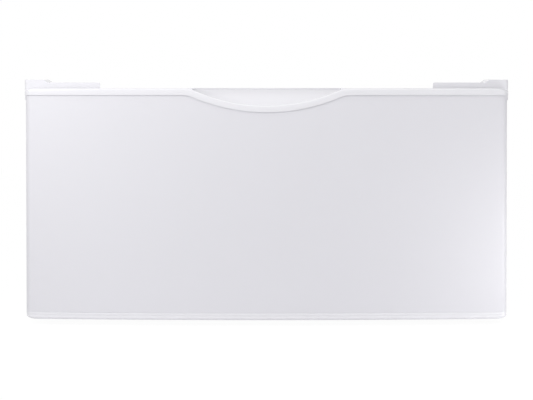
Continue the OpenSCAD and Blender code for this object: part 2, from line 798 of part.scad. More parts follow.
// The band: a lip along the front, a plate over the top and a tongue behind the skin
module top_trim() {
    low_z = front_top_z - scoop_depth - band_h - tongue_h - over;
    tongue_in = skin_t + seam;
    color(TRIM_WHITE) difference() {
        union() {
            intersection() {
                difference() {
                    front_slab(band_proud, front_back_y, low_z, front_top_z);
                    front_slab(band_proud - lip_t, inner_front_y, low_z - over, cup_top_z);
                    block([-front_hw, cup_back_y, 0], [front_hw, 0, front_top_z - band_h]);
                }
                above_scoop(band_h, bow_y - far, far);
            }
            difference() {
                intersection() {
                    front_slab(-tongue_in, cup_back_y, low_z, front_top_z);
                    above_scoop(band_h + tongue_h, bow_y - far, far);
                }
                front_slab(-tongue_in - tongue_t, far, low_z - over, front_top_z + over);
                above_scoop(band_h - band_top_t, bow_y - far, far);
            }
        }
        above_scoop(0, bow_y - far, cup_back_y);
    }
}

// The finger recess behind the scoop
module handle_cup() {
    outer_front = -cup_front_inset - seam;
    inner_front = outer_front - cup_wall;
    floor_in = cup_floor_z + cup_wall;
    back = cup_back_y;
    flange = 5;
    color(TRIM_WHITE) difference() {
        union() {
            intersection() {
                front_slab(outer_front, inner_front_y, cup_floor_z, cup_top_z);
                block([-cup_hw, bow_y, cup_floor_z], [cup_hw, inner_front_y, cup_top_z]);
            }
            for (s = [-1, 1]) block([s * cup_hw - flange, back - 4 * flange, cup_top_z - cup_wall],
                                    [s * cup_hw + flange, back, cup_top_z]);
        }
        intersection() {
            front_slab(inner_front, back, floor_in, far);
            along_x(-cup_hw + cup_wall, cup_hw - cup_wall) polygon(concat(
                [[bow_y, far], [bow_y, floor_in]],
                arc(back - cup_r, floor_in + cup_r, cup_r, 270, 360, corner_steps),
                [[back, far]]
            ));
        }
        above_scoop(band_top_t, bow_y - far, back);
    }
}

// The strip along the bottom: three steps that tuck under, a hollow, and a tongue behind the skin
module bottom_trim() {
    top = front_gap + strip_h;
    step_zs = [front_gap, front_gap + strip_h * 0.2, front_gap + strip_h * 0.5, top];
    step_ins = [3.5, 1.5, 0]; // how far each step stands in, from the bottom up
    proud = seam;
    tongue_in = skin_t + seam;
    color(TRIM_WHITE) difference() {
        union() {
            for (i = [0:2]) front_slab(proud - step_ins[i], front_back_y, step_zs[i], step_zs[i + 1]);
            front_slab(-tongue_in, front_back_y - tongue_in, top - over, top + tongue_h);
        }
        front_slab(-tongue_in - tongue_t, front_back_y - tongue_in - tongue_t, front_gap + strip_wall, far);
    }
}

module inner_panel() {
    hw = front_hw - skin_t - seam;
    z0 = skin_z0 + tongue_h + 2 * seam;
    z1 = front_top_z - band_h - seam;
    fold = 10;
    color(BOX_GREY) difference() {
        union() {
            block([-hw, inner_front_y, z0], [hw, inner_rear_y, z1]);
            block([-hw, inner_front_y - fold, z0], [hw, inner_front_y, z0 + skin_t]);
        }
        for (s = [-1, 1]) for (z = front_screw_zs)
            translate([s * front_screw_x, front_back_y, z]) facing_y() screw_hole(4);
        for (s = [-1, 1]) for (z = box_front_zs)
            translate([s * box_front_x, inner_rear_y, z]) facing_y() screw_hole(4);
    }
}

module front_screws() {
    color(ZINC) for (s = [-1, 1]) for (z = front_screw_zs)
        translate([s * front_screw_x, front_back_y, z]) facing_y() screw(screw_l);
}

// ---- Drawer box ----

module drawer_side(side) {
    color(BOX_GREY) on_side(side) difference() {
        union() {
            block([box_inner, box_front, box_z], [box_hw, box_back, box_top]);
            block([box_inner, box_front, box_z], [box_hw + box_flange, box_front + box_t, box_top]);
            block([box_inner, box_front, box_top - box_t], [box_hw + hem_w, box_back, box_top]);
            block([box_hw + hem_w - box_t, box_front, box_top - hem_w], [box_hw + hem_w, box_back, box_top]);
        }
        for (z = box_front_zs) translate([box_front_x, box_front, z]) facing_y() screw_hole(4);
        at_box_side_screws() screw_hole(4);
        for (y = slide_hole_ys) translate([box_hw, y, slide_z]) facing_x() screw_hole(4);
    }
}

// Places of the screws that go in through a side of the box, their heads outside
module at_box_side_screws() {
    for (z = box_back_zs) translate([box_hw, box_back_screw_y, z]) facing_x() children();
    for (y = box_bottom_ys) translate([box_hw, y, box_bottom_screw_z]) facing_x() children();
}

// The box's back, with its folds turned to the rear
module drawer_back() {
    y1 = box_end_y + box_t;
    hem_y = y1 + hem_w;
    top = box_top - box_t;
    color(BOX_GREY) difference() {
        union() {
            block([-box_inner, box_end_y, box_z], [box_inner, y1, top]);
            block([-box_inner, box_end_y, top - box_t], [box_inner, hem_y, top]);
            block([-box_inner, hem_y - box_t, top - hem_w], [box_inner, hem_y, top]);
            for (side = [LEFT, RIGHT]) on_side(side)
                block([box_inner - box_t, box_end_y, box_z], [box_inner, box_back, top]);
        }
        for (side = [LEFT, RIGHT]) on_side(side) at_box_side_screws() screw_hole(4);
    }
}

// The box's bottom, with its folds turned down
module drawer_bottom() {
    bead_margin = 50;
    bead_l = box_end_y - box_front - 2 * bead_margin;
    bead_xs = [for (i = [-2:2]) i * box_hw / 3];
    mid_y = (box_front + box_end_y) / 2;
    color(BOX_GREY) difference() {
        union() {
            block([-box_inner, box_front, box_floor_z - box_t], [box_inner, box_end_y, box_floor_z]);
            block([-box_inner, box_front, box_z], [box_inner, box_front + box_t, box_floor_z]);
            for (side = [LEFT, RIGHT]) on_side(side)
                block([box_inner - box_t, box_front, box_z], [box_inner, box_end_y, box_floor_z]);
            for (x = bead_xs) translate([x, mid_y, box_floor_z]) rotate([0, 0, 90])
                bead_metal(bead_l, bead_w, box_bead_depth, box_t);
        }
        for (x = bead_xs) translate([x, mid_y, box_floor_z]) rotate([0, 0, 90])
            trough(bead_l, bead_w, box_bead_depth);
        for (side = [LEFT, RIGHT]) on_side(side) at_box_side_screws() screw_hole(4);
    }
}

module drawer_box_screws() {
    color(ZINC) for (side = [LEFT, RIGHT]) on_side(side) {
        for (z = box_front_zs) translate([box_front_x, box_front + box_t, z]) facing_y() screw(screw_l);
        at_box_side_screws() screw(screw_l / 2);
    }
}

// Rivets that hold the inner members to the drawer's sides
module slide_rivets() {
    rivet_h = 1;
    rivet_r = head_r - 0.5;
    color(ZINC) for (side = [LEFT, RIGHT]) on_side(side) for (y = slide_hole_ys)
        translate([box_hw, y, slide_z]) facing_x() {
            translate([0, 0, member_t]) cylinder(r = rivet_r, h = rivet_h);
            translate([0, 0, -box_t - rivet_h]) cylinder(r = rivet_r, h = rivet_h);
            translate([0, 0, -box_t - rivet_h]) cylinder(r = screw_r, h = box_t + member_t + 2 * rivet_h);
        }
}

// ---- Levelling feet ----

module at_foot(side, row) {
    translate([side * foot_x, row == FRONT ? foot_front_y : foot_rear_y, 0]) children();
}

// A threaded stud with a hexagon to turn it by and a disc that turns in the pad
module foot_stud(side, row) {
    color(ZINC) at_foot(side, row) {
        translate([0, 0, disc_z]) cylinder(r = disc_r, h = disc_h);
        translate([0, 0, disc_z]) cylinder(r = stud_r, h = stud_top - disc_z);
        translate([0, 0, collar_z]) cylinder(r = nut_r, h = collar_top - collar_z, $fn = 6);
    }
}

// A rubber pad, with the socket that the stud's disc turns in
module foot_pad(side, row) {
    socket_r = disc_r + foot_fit;
    neck_r = stud_r + 2 * foot_fit;
    z0 = disc_z - foot_fit;
    z1 = disc_z + disc_h + foot_fit;
    color(BLACK_RUBBER) at_foot(side, row) rotate_extrude() polygon([
        [0, 0], [pad_r - pad_edge, 0], [pad_r, pad_edge], [pad_r, pad_rim_h], [pad_top_r, pad_h],
        [neck_r, pad_h], [neck_r, z1], [socket_r, z1], [socket_r, z0], [0, z0]
    ]);
}

side_panel(LEFT);  // side_panel_left
side_panel(RIGHT);  // side_panel_right
back_panel();
top_deck();
cross_rail(FRONT, top_rail_z);  // front_top_rail
cross_rail(REAR, top_rail_z);  // rear_top_rail
cross_rail(FRONT, base_rail_z);  // front_base_rail
cross_rail(REAR, base_rail_z);  // rear_base_rail
foot_bracket(LEFT, FRONT);  // foot_bracket_front_left
foot_bracket(RIGHT, FRONT);  // foot_bracket_front_right
foot_bracket(LEFT, REAR);  // foot_bracket_rear_left
foot_bracket(RIGHT, REAR);  // foot_bracket_rear_right
foot_weld_nuts();
foot_lock_nuts();
slide_bracket(LEFT);  // slide_bracket_left
slide_bracket(RIGHT);  // slide_bracket_right
slide_outer(LEFT);  // slide_outer_left
slide_outer(RIGHT);  // slide_outer_right
corner_cap(LEFT, FRONT);  // front_corner_cap_left
corner_cap(RIGHT, FRONT);  // front_corner_cap_right
corner_cap(LEFT, REAR);  // rear_corner_cap_left
corner_cap(RIGHT, REAR);  // rear_corner_cap_right
drawer_bumpers();
cabinet_screws();
cap_screws();
slide_screws();
slide_middle(LEFT);  // slide_middle_left
slide_middle(RIGHT);  // slide_middle_right
slide_outer_cage(LEFT);  // slide_outer_cage_left
slide_outer_cage(RIGHT);  // slide_outer_cage_right
slide_inner_cage(LEFT);  // slide_inner_cage_left
slide_inner_cage(RIGHT);  // slide_inner_cage_right
slide_outer_balls(LEFT);  // slide_outer_balls_left
slide_outer_balls(RIGHT);  // slide_outer_balls_right
slide_inner_balls(LEFT);  // slide_inner_balls_left
slide_inner_balls(RIGHT);  // slide_inner_balls_right
front_panel();
top_trim();
handle_cup();
bottom_trim();
inner_panel();
drawer_side(LEFT);  // drawer_side_left
drawer_side(RIGHT);  // drawer_side_right
drawer_back();
drawer_bottom();
slide_inner(LEFT);  // slide_inner_left
slide_inner(RIGHT);  // slide_inner_right
drawer_box_screws();
front_screws();
slide_rivets();
foot_stud(LEFT, FRONT);  // foot_stud_front_left
foot_stud(RIGHT, FRONT);  // foot_stud_front_right
foot_stud(LEFT, REAR);  // foot_stud_rear_left
foot_stud(RIGHT, REAR);  // foot_stud_rear_right
foot_pad(LEFT, FRONT);  // foot_pad_front_left
foot_pad(RIGHT, FRONT);  // foot_pad_front_right
foot_pad(LEFT, REAR);  // foot_pad_rear_left
foot_pad(RIGHT, REAR);  // foot_pad_rear_right
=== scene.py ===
import json
import math

import bmesh
import bpy
from bpy.props import FloatProperty, FloatVectorProperty, IntProperty, PointerProperty
from mathutils import Matrix, Vector


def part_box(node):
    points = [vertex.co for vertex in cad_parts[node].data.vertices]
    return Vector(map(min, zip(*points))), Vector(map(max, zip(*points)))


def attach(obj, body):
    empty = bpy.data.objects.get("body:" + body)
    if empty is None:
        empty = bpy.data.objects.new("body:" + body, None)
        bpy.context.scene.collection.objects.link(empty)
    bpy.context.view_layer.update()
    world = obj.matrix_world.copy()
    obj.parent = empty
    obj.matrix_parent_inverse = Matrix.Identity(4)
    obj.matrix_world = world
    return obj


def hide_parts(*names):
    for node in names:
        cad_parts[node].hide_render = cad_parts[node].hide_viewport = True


bl_info = {
    "name": "Washer Pedestal Drawer",
    "version": (1, 0, 0),
    "blender": (4, 5, 0),
    "location": "3D View > Sidebar > Pedestal",
    "description": "Builds the finished look of a laundry pedestal with a bowed, full-width drawer",
    "category": "Object",
}

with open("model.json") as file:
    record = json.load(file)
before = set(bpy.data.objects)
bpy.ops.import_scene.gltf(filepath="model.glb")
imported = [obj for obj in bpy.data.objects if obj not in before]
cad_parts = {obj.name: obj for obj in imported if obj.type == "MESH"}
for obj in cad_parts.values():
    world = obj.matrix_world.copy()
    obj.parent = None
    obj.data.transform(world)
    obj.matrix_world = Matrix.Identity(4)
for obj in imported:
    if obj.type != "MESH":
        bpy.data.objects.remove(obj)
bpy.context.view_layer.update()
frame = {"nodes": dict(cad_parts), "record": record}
SIDES = ("left", "right")
ROWS = ("front", "rear")
CORNERS = [f"{row}_{side}" for row in ROWS for side in SIDES]
UP = Vector((0.0, 0.0, 1.0))
AHEAD = Vector((0.0, -1.0, 0.0))
WELD = 2e-6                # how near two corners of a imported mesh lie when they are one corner, in metres
BEAD_BEND = (0.6, 0.95)    # angles between which a bend of a stamped bead lies, in radians
FOLD_BEND = 1.0            # angle past which an edge of a side panel is a fold, in radians
END_CURVE = 2.5            # power by which the ends of the front's trims curve
LAMPS = (
    # name, place, the point that it is turned to, and its side, in metres
    ("top_lamp", (0.1, -0.9, 1.0), (0.0, -0.36, 0.17), 1.0),
    ("left_lamp", (-0.6, -0.8, 0.55), (-0.3, -0.36, 0.3), 0.3),
    ("right_lamp", (0.55, -0.55, 0.09), (0.44, -0.36, 0.06), 0.14),
)


# ---------------------------------------------------------------- sizes and looks

def length(name, description, default):
    """A length that the sidebar shows in the scene's unit."""
    return FloatProperty(name=name, description=description, default=default, min=0.0, precision=5, unit="LENGTH")


def angle(name, description, degrees):
    return FloatProperty(name=name, description=description, default=math.radians(degrees), unit="ROTATION")


def share(name, description, default):
    return FloatProperty(name=name, description=description, default=default, min=0.0, max=1.0, subtype="FACTOR")


def count(name, description, default):
    return IntProperty(name=name, description=description, default=default, min=1)


def colour(name, description, default):
    return FloatVectorProperty(name=name, description=description, default=default, size=3, min=0.0, max=1.0,
                               subtype="COLOR")


def power(name, description, watts):
    return FloatProperty(name=name, description=description, default=watts, min=0.0, precision=3, unit="POWER")


def record_colour(slot):
    """The base colour that the record gives a material slot."""
    return next(m["base_color"] for m in frame["record"]["materials"] if m["slot"] == slot)


class FrontSizes(bpy.types.PropertyGroup):
    """Sizes of the drawer front, which is bowed, and of its trims."""
    bow: length("Bow", "How far the middle of the front stands ahead of its side edges", 0.026)
    corner_radius: length("Corner radius", "Radius of the front's vertical edges", 0.008)
    back_radius: length("Back radius", "Radius of the skin's folds at the back", 0.002)
    fold_width: length("Fold width", "Width of the skin's folds at the back", 0.013)
    skin_edge: length("Skin edge", "Rounding of the skin's cut edges", 0.00015)
    skin_thickness: length("Skin thickness", "Thickness of the painted steel skin", 0.0012)
    seam: length("Seam", "Gap between the skin and its trims", 0.00003)
    scoop_width: length("Scoop width", "Width of the scoop in the top edge", 0.236)
    scoop_depth: length("Scoop depth", "Depth of the scoop in the top edge", 0.024)
    shoulder_radius: length("Shoulder radius", "Radius of the scoop's shoulders", 0.0465)
    band_height: length("Band height", "Height of the band along the top", 0.010)
    band_proud: length("Band proud", "How far the band stands out past the skin", 0.0017)
    band_round: length("Band rounding", "Radius of the band's upper edge", 0.0026)
    band_edge: length("Band edge", "Radius of the band's lower edge", 0.0005)
    lip_thickness: length("Lip thickness", "Thickness of the band's lip", 0.006)
    top_thickness: length("Top thickness", "Thickness of the band's top plate", 0.0022)
    cup_wall: length("Cup wall", "Wall thickness of the finger recess", 0.002)
    cup_round: length("Cup rounding", "Radius of the finger recess's inner edges", 0.010)
    band_drop: length("Band drop", "How much lower the band's top is at its outer ends", 0.0035)
    drop_width: length("Drop width", "Width of the band's outer ends that curve down", 0.018)
    strip_floor: length("Strip floor", "Thickness of the bottom strip's floor", 0.003)
    strip_wall: length("Strip wall", "Thickness of the bottom strip's front", 0.008)
    strip_bead: length("Strip bead", "Height of one bead of the bottom strip", 0.0047)
    bead_depth: length("Bead depth", "Depth of the grooves above and between the beads", 0.0005)
    strip_lift: length("Strip lift", "How much higher the strip's lower edge is at its outer ends", 0.0038)
    lift_width: length("Lift width", "Width of the strip's outer ends that curve up", 0.016)
    column: length("Column", "Width of the mesh's columns along the front", 0.004)
    corner_steps: count("Corner steps", "Number of faces round a vertical edge", 8)
    skin_rows: count("Skin rows", "Number of faces from the top to the bottom of the skin", 24)


class SheetSizes(bpy.types.PropertyGroup):
    """Roundings of the folded and stamped sheet steel and of the mouldings."""
    fold: length("Fold", "Outer radius of the side panels' folds", 0.0022)
    sheet_edge: length("Sheet edge", "Rounding of the cabinet's cut sheet edges", 0.0004)
    bead: length("Bead", "Rounding of the stamped beads", 0.0028)
    box_edge: length("Box edge", "Rounding of the drawer box's sheet edges", 0.0003)
    slide_edge: length("Slide edge", "Rounding of the slides' rolled edges", 0.00035)
    cap_edge: length("Cap edge", "Rounding of the corner caps' edges", 0.0011)
    cap_end: length("Cap end", "Width of the front caps' inner ends, which slope outwards to the back", 0.008)
    cap_draft: angle("Cap draft", "How far the front caps' inner ends slope", 3.8)
    rubber_edge: length("Rubber edge", "Rounding of the rubber pieces' edges", 0.0005)
    nut_edge: length("Nut edge", "Chamfer of the nuts", 0.0005)


class HardwareSizes(bpy.types.PropertyGroup):
    """Sizes of the fasteners, the studs and the balls."""
    dome: length("Head dome", "How much higher a screw's head is in its middle than at its rim", 0.0008)
    recess_width: length("Recess width", "Width of one arm of the cross recess", 0.0011)
    recess_length: length("Recess length", "Length of the cross recess", 0.0044)
    recess_depth: length("Recess depth", "Depth of the cross recess", 0.0013)
    thread_pitch: length("Thread pitch", "Pitch of the studs' thread", 0.0015)
    thread_depth: length("Thread depth", "Depth of the studs' thread", 0.0009)
    hexagon_radius: length("Hexagon radius", "Radius over the corners of the stud's hexagon", 0.0095)
    stud_radius: length("Stud radius", "Radius over the studs' thread", 0.005)
    disc_height: length("Disc height", "Height of the disc at a stud's foot", 0.0024)
    stud_lead: length("Stud lead", "Chamfer of the studs' discs and ends", 0.0006)
    hexagon_edge: length("Hexagon edge", "Rounding of the studs' hexagons", 0.0005)
    hexagon_gap: length("Hexagon gap", "Gap above and below the studs' hexagons", 0.00015)
    screw_edge: length("Screw edge", "Rounding of the slides' flat screws", 0.0001)
    rivet_edge: length("Rivet edge", "Rounding of the rivets' heads", 0.00045)
    round_steps: count("Round steps", "Number of faces round a screw or a stud", 24)
    ball_steps: count("Ball steps", "Number of faces round a ball", 16)


class FinishLooks(bpy.types.PropertyGroup):
    """Colours and gloss of the finishes."""
    enamel: colour("Enamel", "Colour of the white enamel", (0.822, 0.815, 0.856))
    enamel_roughness: share("Enamel roughness", "Roughness of the white enamel", 0.34)
    plastic: colour("Plastic", "Colour of the white mouldings", (0.900, 0.894, 0.930))
    plastic_roughness: share("Plastic roughness", "Roughness of the white mouldings", 0.22)
    box: colour("Box", "Colour of the drawer box's enamel", record_colour("drawer_enamel"))
    box_roughness: share("Box roughness", "Least roughness of the drawer box's enamel", 0.40)
    zinc: colour("Zinc", "Colour of the zinc plating", record_colour("zinc_steel"))
    zinc_roughness: share("Zinc roughness", "Least roughness of the zinc plating", 0.24)
    bearing: colour("Bearing steel", "Colour of the balls and their cages", record_colour("bearing_steel"))
    bearing_roughness: share("Bearing roughness", "Least roughness of the balls and their cages", 0.10)
    rubber: colour("Rubber", "Colour of the rubber", record_colour("black_rubber"))
    rubber_roughness: share("Rubber roughness", "Least roughness of the rubber", 0.62)
    dust: colour("Dust", "Colour of the dust on the rubber", (0.10, 0.10, 0.095))


class StudioLooks(bpy.types.PropertyGroup):
    """Floor, light and camera."""
    floor_colour: colour("Floor", "Colour of the floor", (0.93, 0.93, 0.94))
    floor_size: length("Floor size", "Side of the floor", 14.0)
    shadow: share("Shadow", "How much of the object's shadow the white floor keeps", 0.08)
    floor_glow: FloatProperty(name="Floor glow", description="Brightness of the floor as the camera sees it",
                              default=1.05, min=0.0)
    ambient: FloatProperty(name="Ambient", description="Level of the light from all round", default=0.41, min=0.0)
    top_power: power("Top power", "Power of the large lamp above the front", 4.4)
    left_power: power("Left power", "Power of the small lamp high on the left", 1.54)
    right_power: power("Right power", "Power of the small lamp low on the right", 0.34)
    camera_distance: length("Camera distance", "How far ahead of the object's middle the camera stands", 4.54)
    camera_height: length("Camera height", "Height of the camera above the floor", 0.340)
    camera_pitch: angle("Camera pitch", "How far the camera looks down", 2.216)
    lens: FloatProperty(name="Lens", description="Focal length of the camera in millimetres", default=201.4,
                        min=1.0, unit="CAMERA")


# ---------------------------------------------------------------- finishes

class Value:
    """A socket in shader maths: an expression on it adds the Math nodes that work it out."""

    def __init__(self, tree, socket):
        self.tree = tree
        self.socket = socket

    def _math(self, operation, first, second):
        node = self.tree.nodes.new("ShaderNodeMath")
        node.operation = operation
        for value, socket in zip((first, second), node.inputs):
            plug(self.tree, value, socket)
        return Value(self.tree, node.outputs[0])

    def __add__(self, other):
        return self._math("ADD", self, other)

    def __mul__(self, other):
        return self._math("MULTIPLY", self, other)

    __radd__ = __add__
    __rmul__ = __mul__


def plug(tree, value, socket):
    """Links a value to a socket, or writes a plain number, colour or vector on it."""
    if isinstance(value, Value):
        tree.links.new(value.socket, socket)
    elif hasattr(socket.default_value, "__len__") and len(socket.default_value) == 4:
        socket.default_value = (*value, 1.0)
    else:
        socket.default_value = value


def by_name(sockets, name):
    """The socket with that identifier, or else with that name."""
    return next((s for s in sockets if s.identifier == name), None) or sockets[name]


class Finish:
    """A material under construction: its surface shader and the nodes that feed it."""

    def __init__(self, name, **constants):
        self.material = bpy.data.materials.new(name)
        self.material.use_nodes = True
        self.tree = self.material.node_tree
        self.surface = self.tree.nodes["Principled BSDF"]
        self.feed(**constants)

    def feed(self, **sockets):
        """Sets the surface shader's sockets; a name's underscores stand for spaces."""
        for name, value in sockets.items():
            plug(self.tree, value, self.surface.inputs[name.replace("_", " ")])

    def node(self, kind, settings, sockets, output):
        """A node of a type with its settings and its sockets' values or links, and one of its outputs."""
        node = self.tree.nodes.new(kind)
        for name, value in settings.items():
            setattr(node, name, value)
        for name, value in sockets.items():
            plug(self.tree, value, by_name(node.inputs, name))
        return Value(self.tree, by_name(node.outputs, output))

    def place(self, stretch=(1.0, 1.0, 1.0)):
        """The point on the piece, in metres, stretched along the axes."""
        point = self.node("ShaderNodeTexCoord", {}, {}, "Object")
        return self.node("ShaderNodeMapping", {}, {"Vector": point, "Scale": stretch}, "Vector")

    def noise(self, place, grain, detail=2.0):
        """Soft noise from 0 to 1 whose blots are about a grain across, in metres."""
        sockets = {"Vector": place, "Scale": 1.0 / grain, "Detail": detail}
        return self.node("ShaderNodeTexNoise", {}, sockets, "Fac")

    def blend(self, factor, first, second):
        """A colour between two, by a factor."""
        sockets = {"Factor_Float": factor, "A_Color": first, "B_Color": second}
        return self.node("ShaderNodeMix", {"data_type": "RGBA"}, sockets, "Result_Color")

    def relief(self, height, depth, strength=1.0):
        """A bump from a height of 0 to 1 that stands for a depth in metres."""
        return self.node("ShaderNodeBump", {}, {"Height": height, "Distance": depth, "Strength": strength}, "Normal")


def tinted(base, factor):
    """A colour a little darker or lighter than the base."""
    return tuple(min(1.0, c * factor) for c in base)


def white_enamel(looks):
    """Baked enamel on sheet steel: an even white with a faint orange peel."""
    finish = Finish("white_enamel", IOR=1.5)
    place = finish.place()
    cloud = finish.noise(place, grain=0.22, detail=3.0)
    peel = finish.noise(place, grain=0.0016)
    finish.feed(Base_Color=finish.blend(cloud, tinted(looks.enamel, 0.992), tinted(looks.enamel, 1.008)),
                Roughness=looks.enamel_roughness - 0.02 + cloud * 0.04 + peel * 0.02,
                Normal=finish.relief(peel, depth=0.000012, strength=0.5))
    return finish.material


def trim_plastic(looks):
    """Moulded white plastic, semi-gloss, with the finest of textures."""
    finish = Finish("trim_plastic", IOR=1.49)
    place = finish.place()
    cloud = finish.noise(place, grain=0.15, detail=3.0)
    spark = finish.noise(place, grain=0.0006)
    finish.feed(Base_Color=finish.blend(cloud, tinted(looks.plastic, 0.994), tinted(looks.plastic, 1.006)),
                Roughness=looks.plastic_roughness - 0.02 + cloud * 0.03 + spark * 0.03,
                Normal=finish.relief(spark, depth=0.000006, strength=0.5))
    return finish.material


def drawer_enamel(looks):
    """Pale grey enamel on the drawer's box, satin, with a slightly coarser peel."""
    finish = Finish("drawer_enamel", IOR=1.5)
    place = finish.place()
    cloud = finish.noise(place, grain=0.12, detail=4.0)
    peel = finish.noise(place, grain=0.0022)
    finish.feed(Base_Color=finish.blend(cloud, tinted(looks.box, 0.975), tinted(looks.box, 1.02)),
                Roughness=looks.box_roughness + cloud * 0.06 + peel * 0.04,
                Normal=finish.relief(peel, depth=0.00002, strength=0.6))
    return finish.material


def zinc_steel(looks):
    """Bright zinc plating: drawn lines along the piece and a cloudy, faintly blue passivation."""
    finish = Finish("zinc_steel", Metallic=1.0)
    lines = finish.noise(finish.place(stretch=(60.0, 1.0, 60.0)), grain=0.02, detail=4.0)
    cloud = finish.noise(finish.place(), grain=0.018, detail=4.0)
    blue = (looks.zinc[0] * 0.90, looks.zinc[1] * 0.95, looks.zinc[2] * 1.04)
    finish.feed(Base_Color=finish.blend(cloud, blue, tinted(looks.zinc, 1.08)),
                Roughness=looks.zinc_roughness + cloud * 0.12 + lines * 0.10,
                Normal=finish.relief(lines, depth=0.00001, strength=0.35))
    return finish.material


def bearing_steel(looks):
    """Polished steel with a film of oil."""
    finish = Finish("bearing_steel", Metallic=1.0)
    film = finish.noise(finish.place(), grain=0.006, detail=3.0)
    finish.feed(Base_Color=finish.blend(film, tinted(looks.bearing, 0.92), looks.bearing),
                Roughness=looks.bearing_roughness + film * 0.14,
                Coat_Weight=0.2 + film * 0.3)
    return finish.material


def black_rubber(looks):
    """Moulded rubber, matt, with a fine grain and a little dust."""
    finish = Finish("black_rubber", IOR=1.52)
    place = finish.place()
    grain = finish.noise(place, grain=0.0005, detail=3.0)
    dust = finish.noise(place, grain=0.009, detail=5.0)
    finish.feed(Base_Color=finish.blend(dust * 0.5, looks.rubber, looks.dust),
                Roughness=looks.rubber_roughness + dust * 0.2,
                Normal=finish.relief(grain, depth=0.00004, strength=0.7))
    return finish.material


FINISHES = (white_enamel, trim_plastic, drawer_enamel, zinc_steel, bearing_steel, black_rubber)
SLOT_OF = {s["node"]: s["material_slot"] for s in frame["record"]["subparts"]}
BODY_OF = {node: body for body, nodes in frame["record"]["behaviour"]["bodies"].items() for node in nodes}


def material(slot):
    """The material of a slot, made when it is first asked for."""
    if slot not in bpy.data.materials or not bpy.data.materials[slot].get("pedestal_finish"):
        old = bpy.data.materials.get(slot)
        if old:
            old.name = f"packed_{slot}"
        made = next(f for f in FINISHES if f.__name__ == slot)(bpy.context.scene.pedestal_finishes)
        made["pedestal_finish"] = True
    return bpy.data.materials[slot]


# ---------------------------------------------------------------- making and finishing pieces

def as_mesh(name, bm):
    """A new mesh with the shape of a bmesh, which is freed."""
    mesh = bpy.data.meshes.new(name)
    bm.to_mesh(mesh)
    bm.free()
    return mesh


def placed(name, data):
    """A new object in the scene."""
    item = bpy.data.objects.new(name, data)
    bpy.context.scene.collection.objects.link(item)
    return item


def add_piece(name, bm, nodes, crease=35.0):
    """Makes a bmesh a piece that stands for CAD nodes and takes their slot and their body."""
    mesh = as_mesh(name, bm)
    mesh.shade_smooth()
    mesh.set_sharp_from_angle(angle=math.radians(crease))
    piece = placed(name, mesh)
    slot = SLOT_OF[nodes[0]]
    mesh.materials.append(material(slot))
    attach(piece, BODY_OF[nodes[0]])
    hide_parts(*nodes)
    return piece


def round_edges(piece, width, segments=2, limit=30.0):
    """Rounds the edges that are sharper than the limit, and keeps the flats flat."""
    bevel = piece.modifiers.new("rounded_edges", "BEVEL")
    bevel.width = width
    bevel.segments = segments
    bevel.limit_method = "ANGLE"
    bevel.angle_limit = math.radians(limit)
    bevel.harden_normals = True
    bevel.use_clamp_overlap = True
    flats = piece.modifiers.new("even_flats", "WEIGHTED_NORMAL")
    flats.keep_sharp = True


def thicken(piece, thickness):
    """Gives a sheet its thickness, behind its faces."""
    solidify = piece.modifiers.new("thickness", "SOLIDIFY")
    solidify.thickness = thickness
    solidify.offset = -1.0
    solidify.use_even_offset = True


def flatten(bm, degrees):
    """Makes neighbouring faces one where they lie flat to within an angle."""
    bmesh.ops.dissolve_limit(bm, angle_limit=math.radians(degrees), verts=bm.verts, edges=bm.edges)


def round_off(bm, edges, radius, steps, clamp=True):
    """Rounds edges of a bmesh; clamped, the rounding stops where it would run into another."""
    bmesh.ops.bevel(bm, geom=edges, offset=radius, offset_type="OFFSET", segments=steps, profile=0.5,
                    affect="EDGES", material=-1, clamp_overlap=clamp)


def face_towards(bm, direction):
    """Turns the faces of an open sheet all the same way, to the side that a direction points to."""
    bmesh.ops.recalc_face_normals(bm, faces=bm.faces)
    if sum(f.normal.dot(direction) for f in bm.faces) < 0:
        bmesh.ops.reverse_faces(bm, faces=bm.faces)


def merged(node):
    """A copy of a CAD node's mesh, with its loose triangles joined and its flats made whole."""
    bm = bmesh.new()
    bm.from_mesh(frame["nodes"][node].data)
    bmesh.ops.remove_doubles(bm, verts=bm.verts, dist=WELD)
    flatten(bm, 0.5)
    return bm


def softened(node, width, segments=2, shape=None):
    """A CAD node's own shape, or one made from it, with its edges rounded."""
    piece = add_piece(f"{node}_finished", shape or merged(node), [node])
    round_edges(piece, width, segments)


def carve(solid, tool, operation):
    """One bmesh cut by another, or joined with it."""
    shapes = [placed("carving", as_mesh("carving", bm)) for bm in (solid, tool)]
    boolean = shapes[0].modifiers.new("carve", "BOOLEAN")
    boolean.object = shapes[1]
    boolean.operation = operation
    boolean.solver = "EXACT"
    result = bmesh.new()
    result.from_object(shapes[0], bpy.context.evaluated_depsgraph_get())
    for shape in shapes:
        bpy.data.meshes.remove(shape.data)
    return result


def join(bm, other):
    """Adds another bmesh to this one."""
    mesh = as_mesh("joining", other)
    bm.from_mesh(mesh)
    bpy.data.meshes.remove(mesh)


def copies(template, places):
    """The template's shape at each of the places."""
    mesh = as_mesh("template", template)
    bm = bmesh.new()
    for place in places:
        old = set(bm.verts)
        bm.from_mesh(mesh)
        bmesh.ops.transform(bm, matrix=place, verts=[v for v in bm.verts if v not in old])
    bpy.data.meshes.remove(mesh)
    return bm


def new_part(result, kind):
    """The vertices or the edges that an operator made."""
    return [g for g in result["geom"] if isinstance(g, kind)]


def chain(points):
    """A bmesh with one row of edges through the points."""
    bm = bmesh.new()
    verts = [bm.verts.new(p) for p in points]
    for a, b in zip(verts, verts[1:]):
        bm.edges.new((a, b))
    return bm


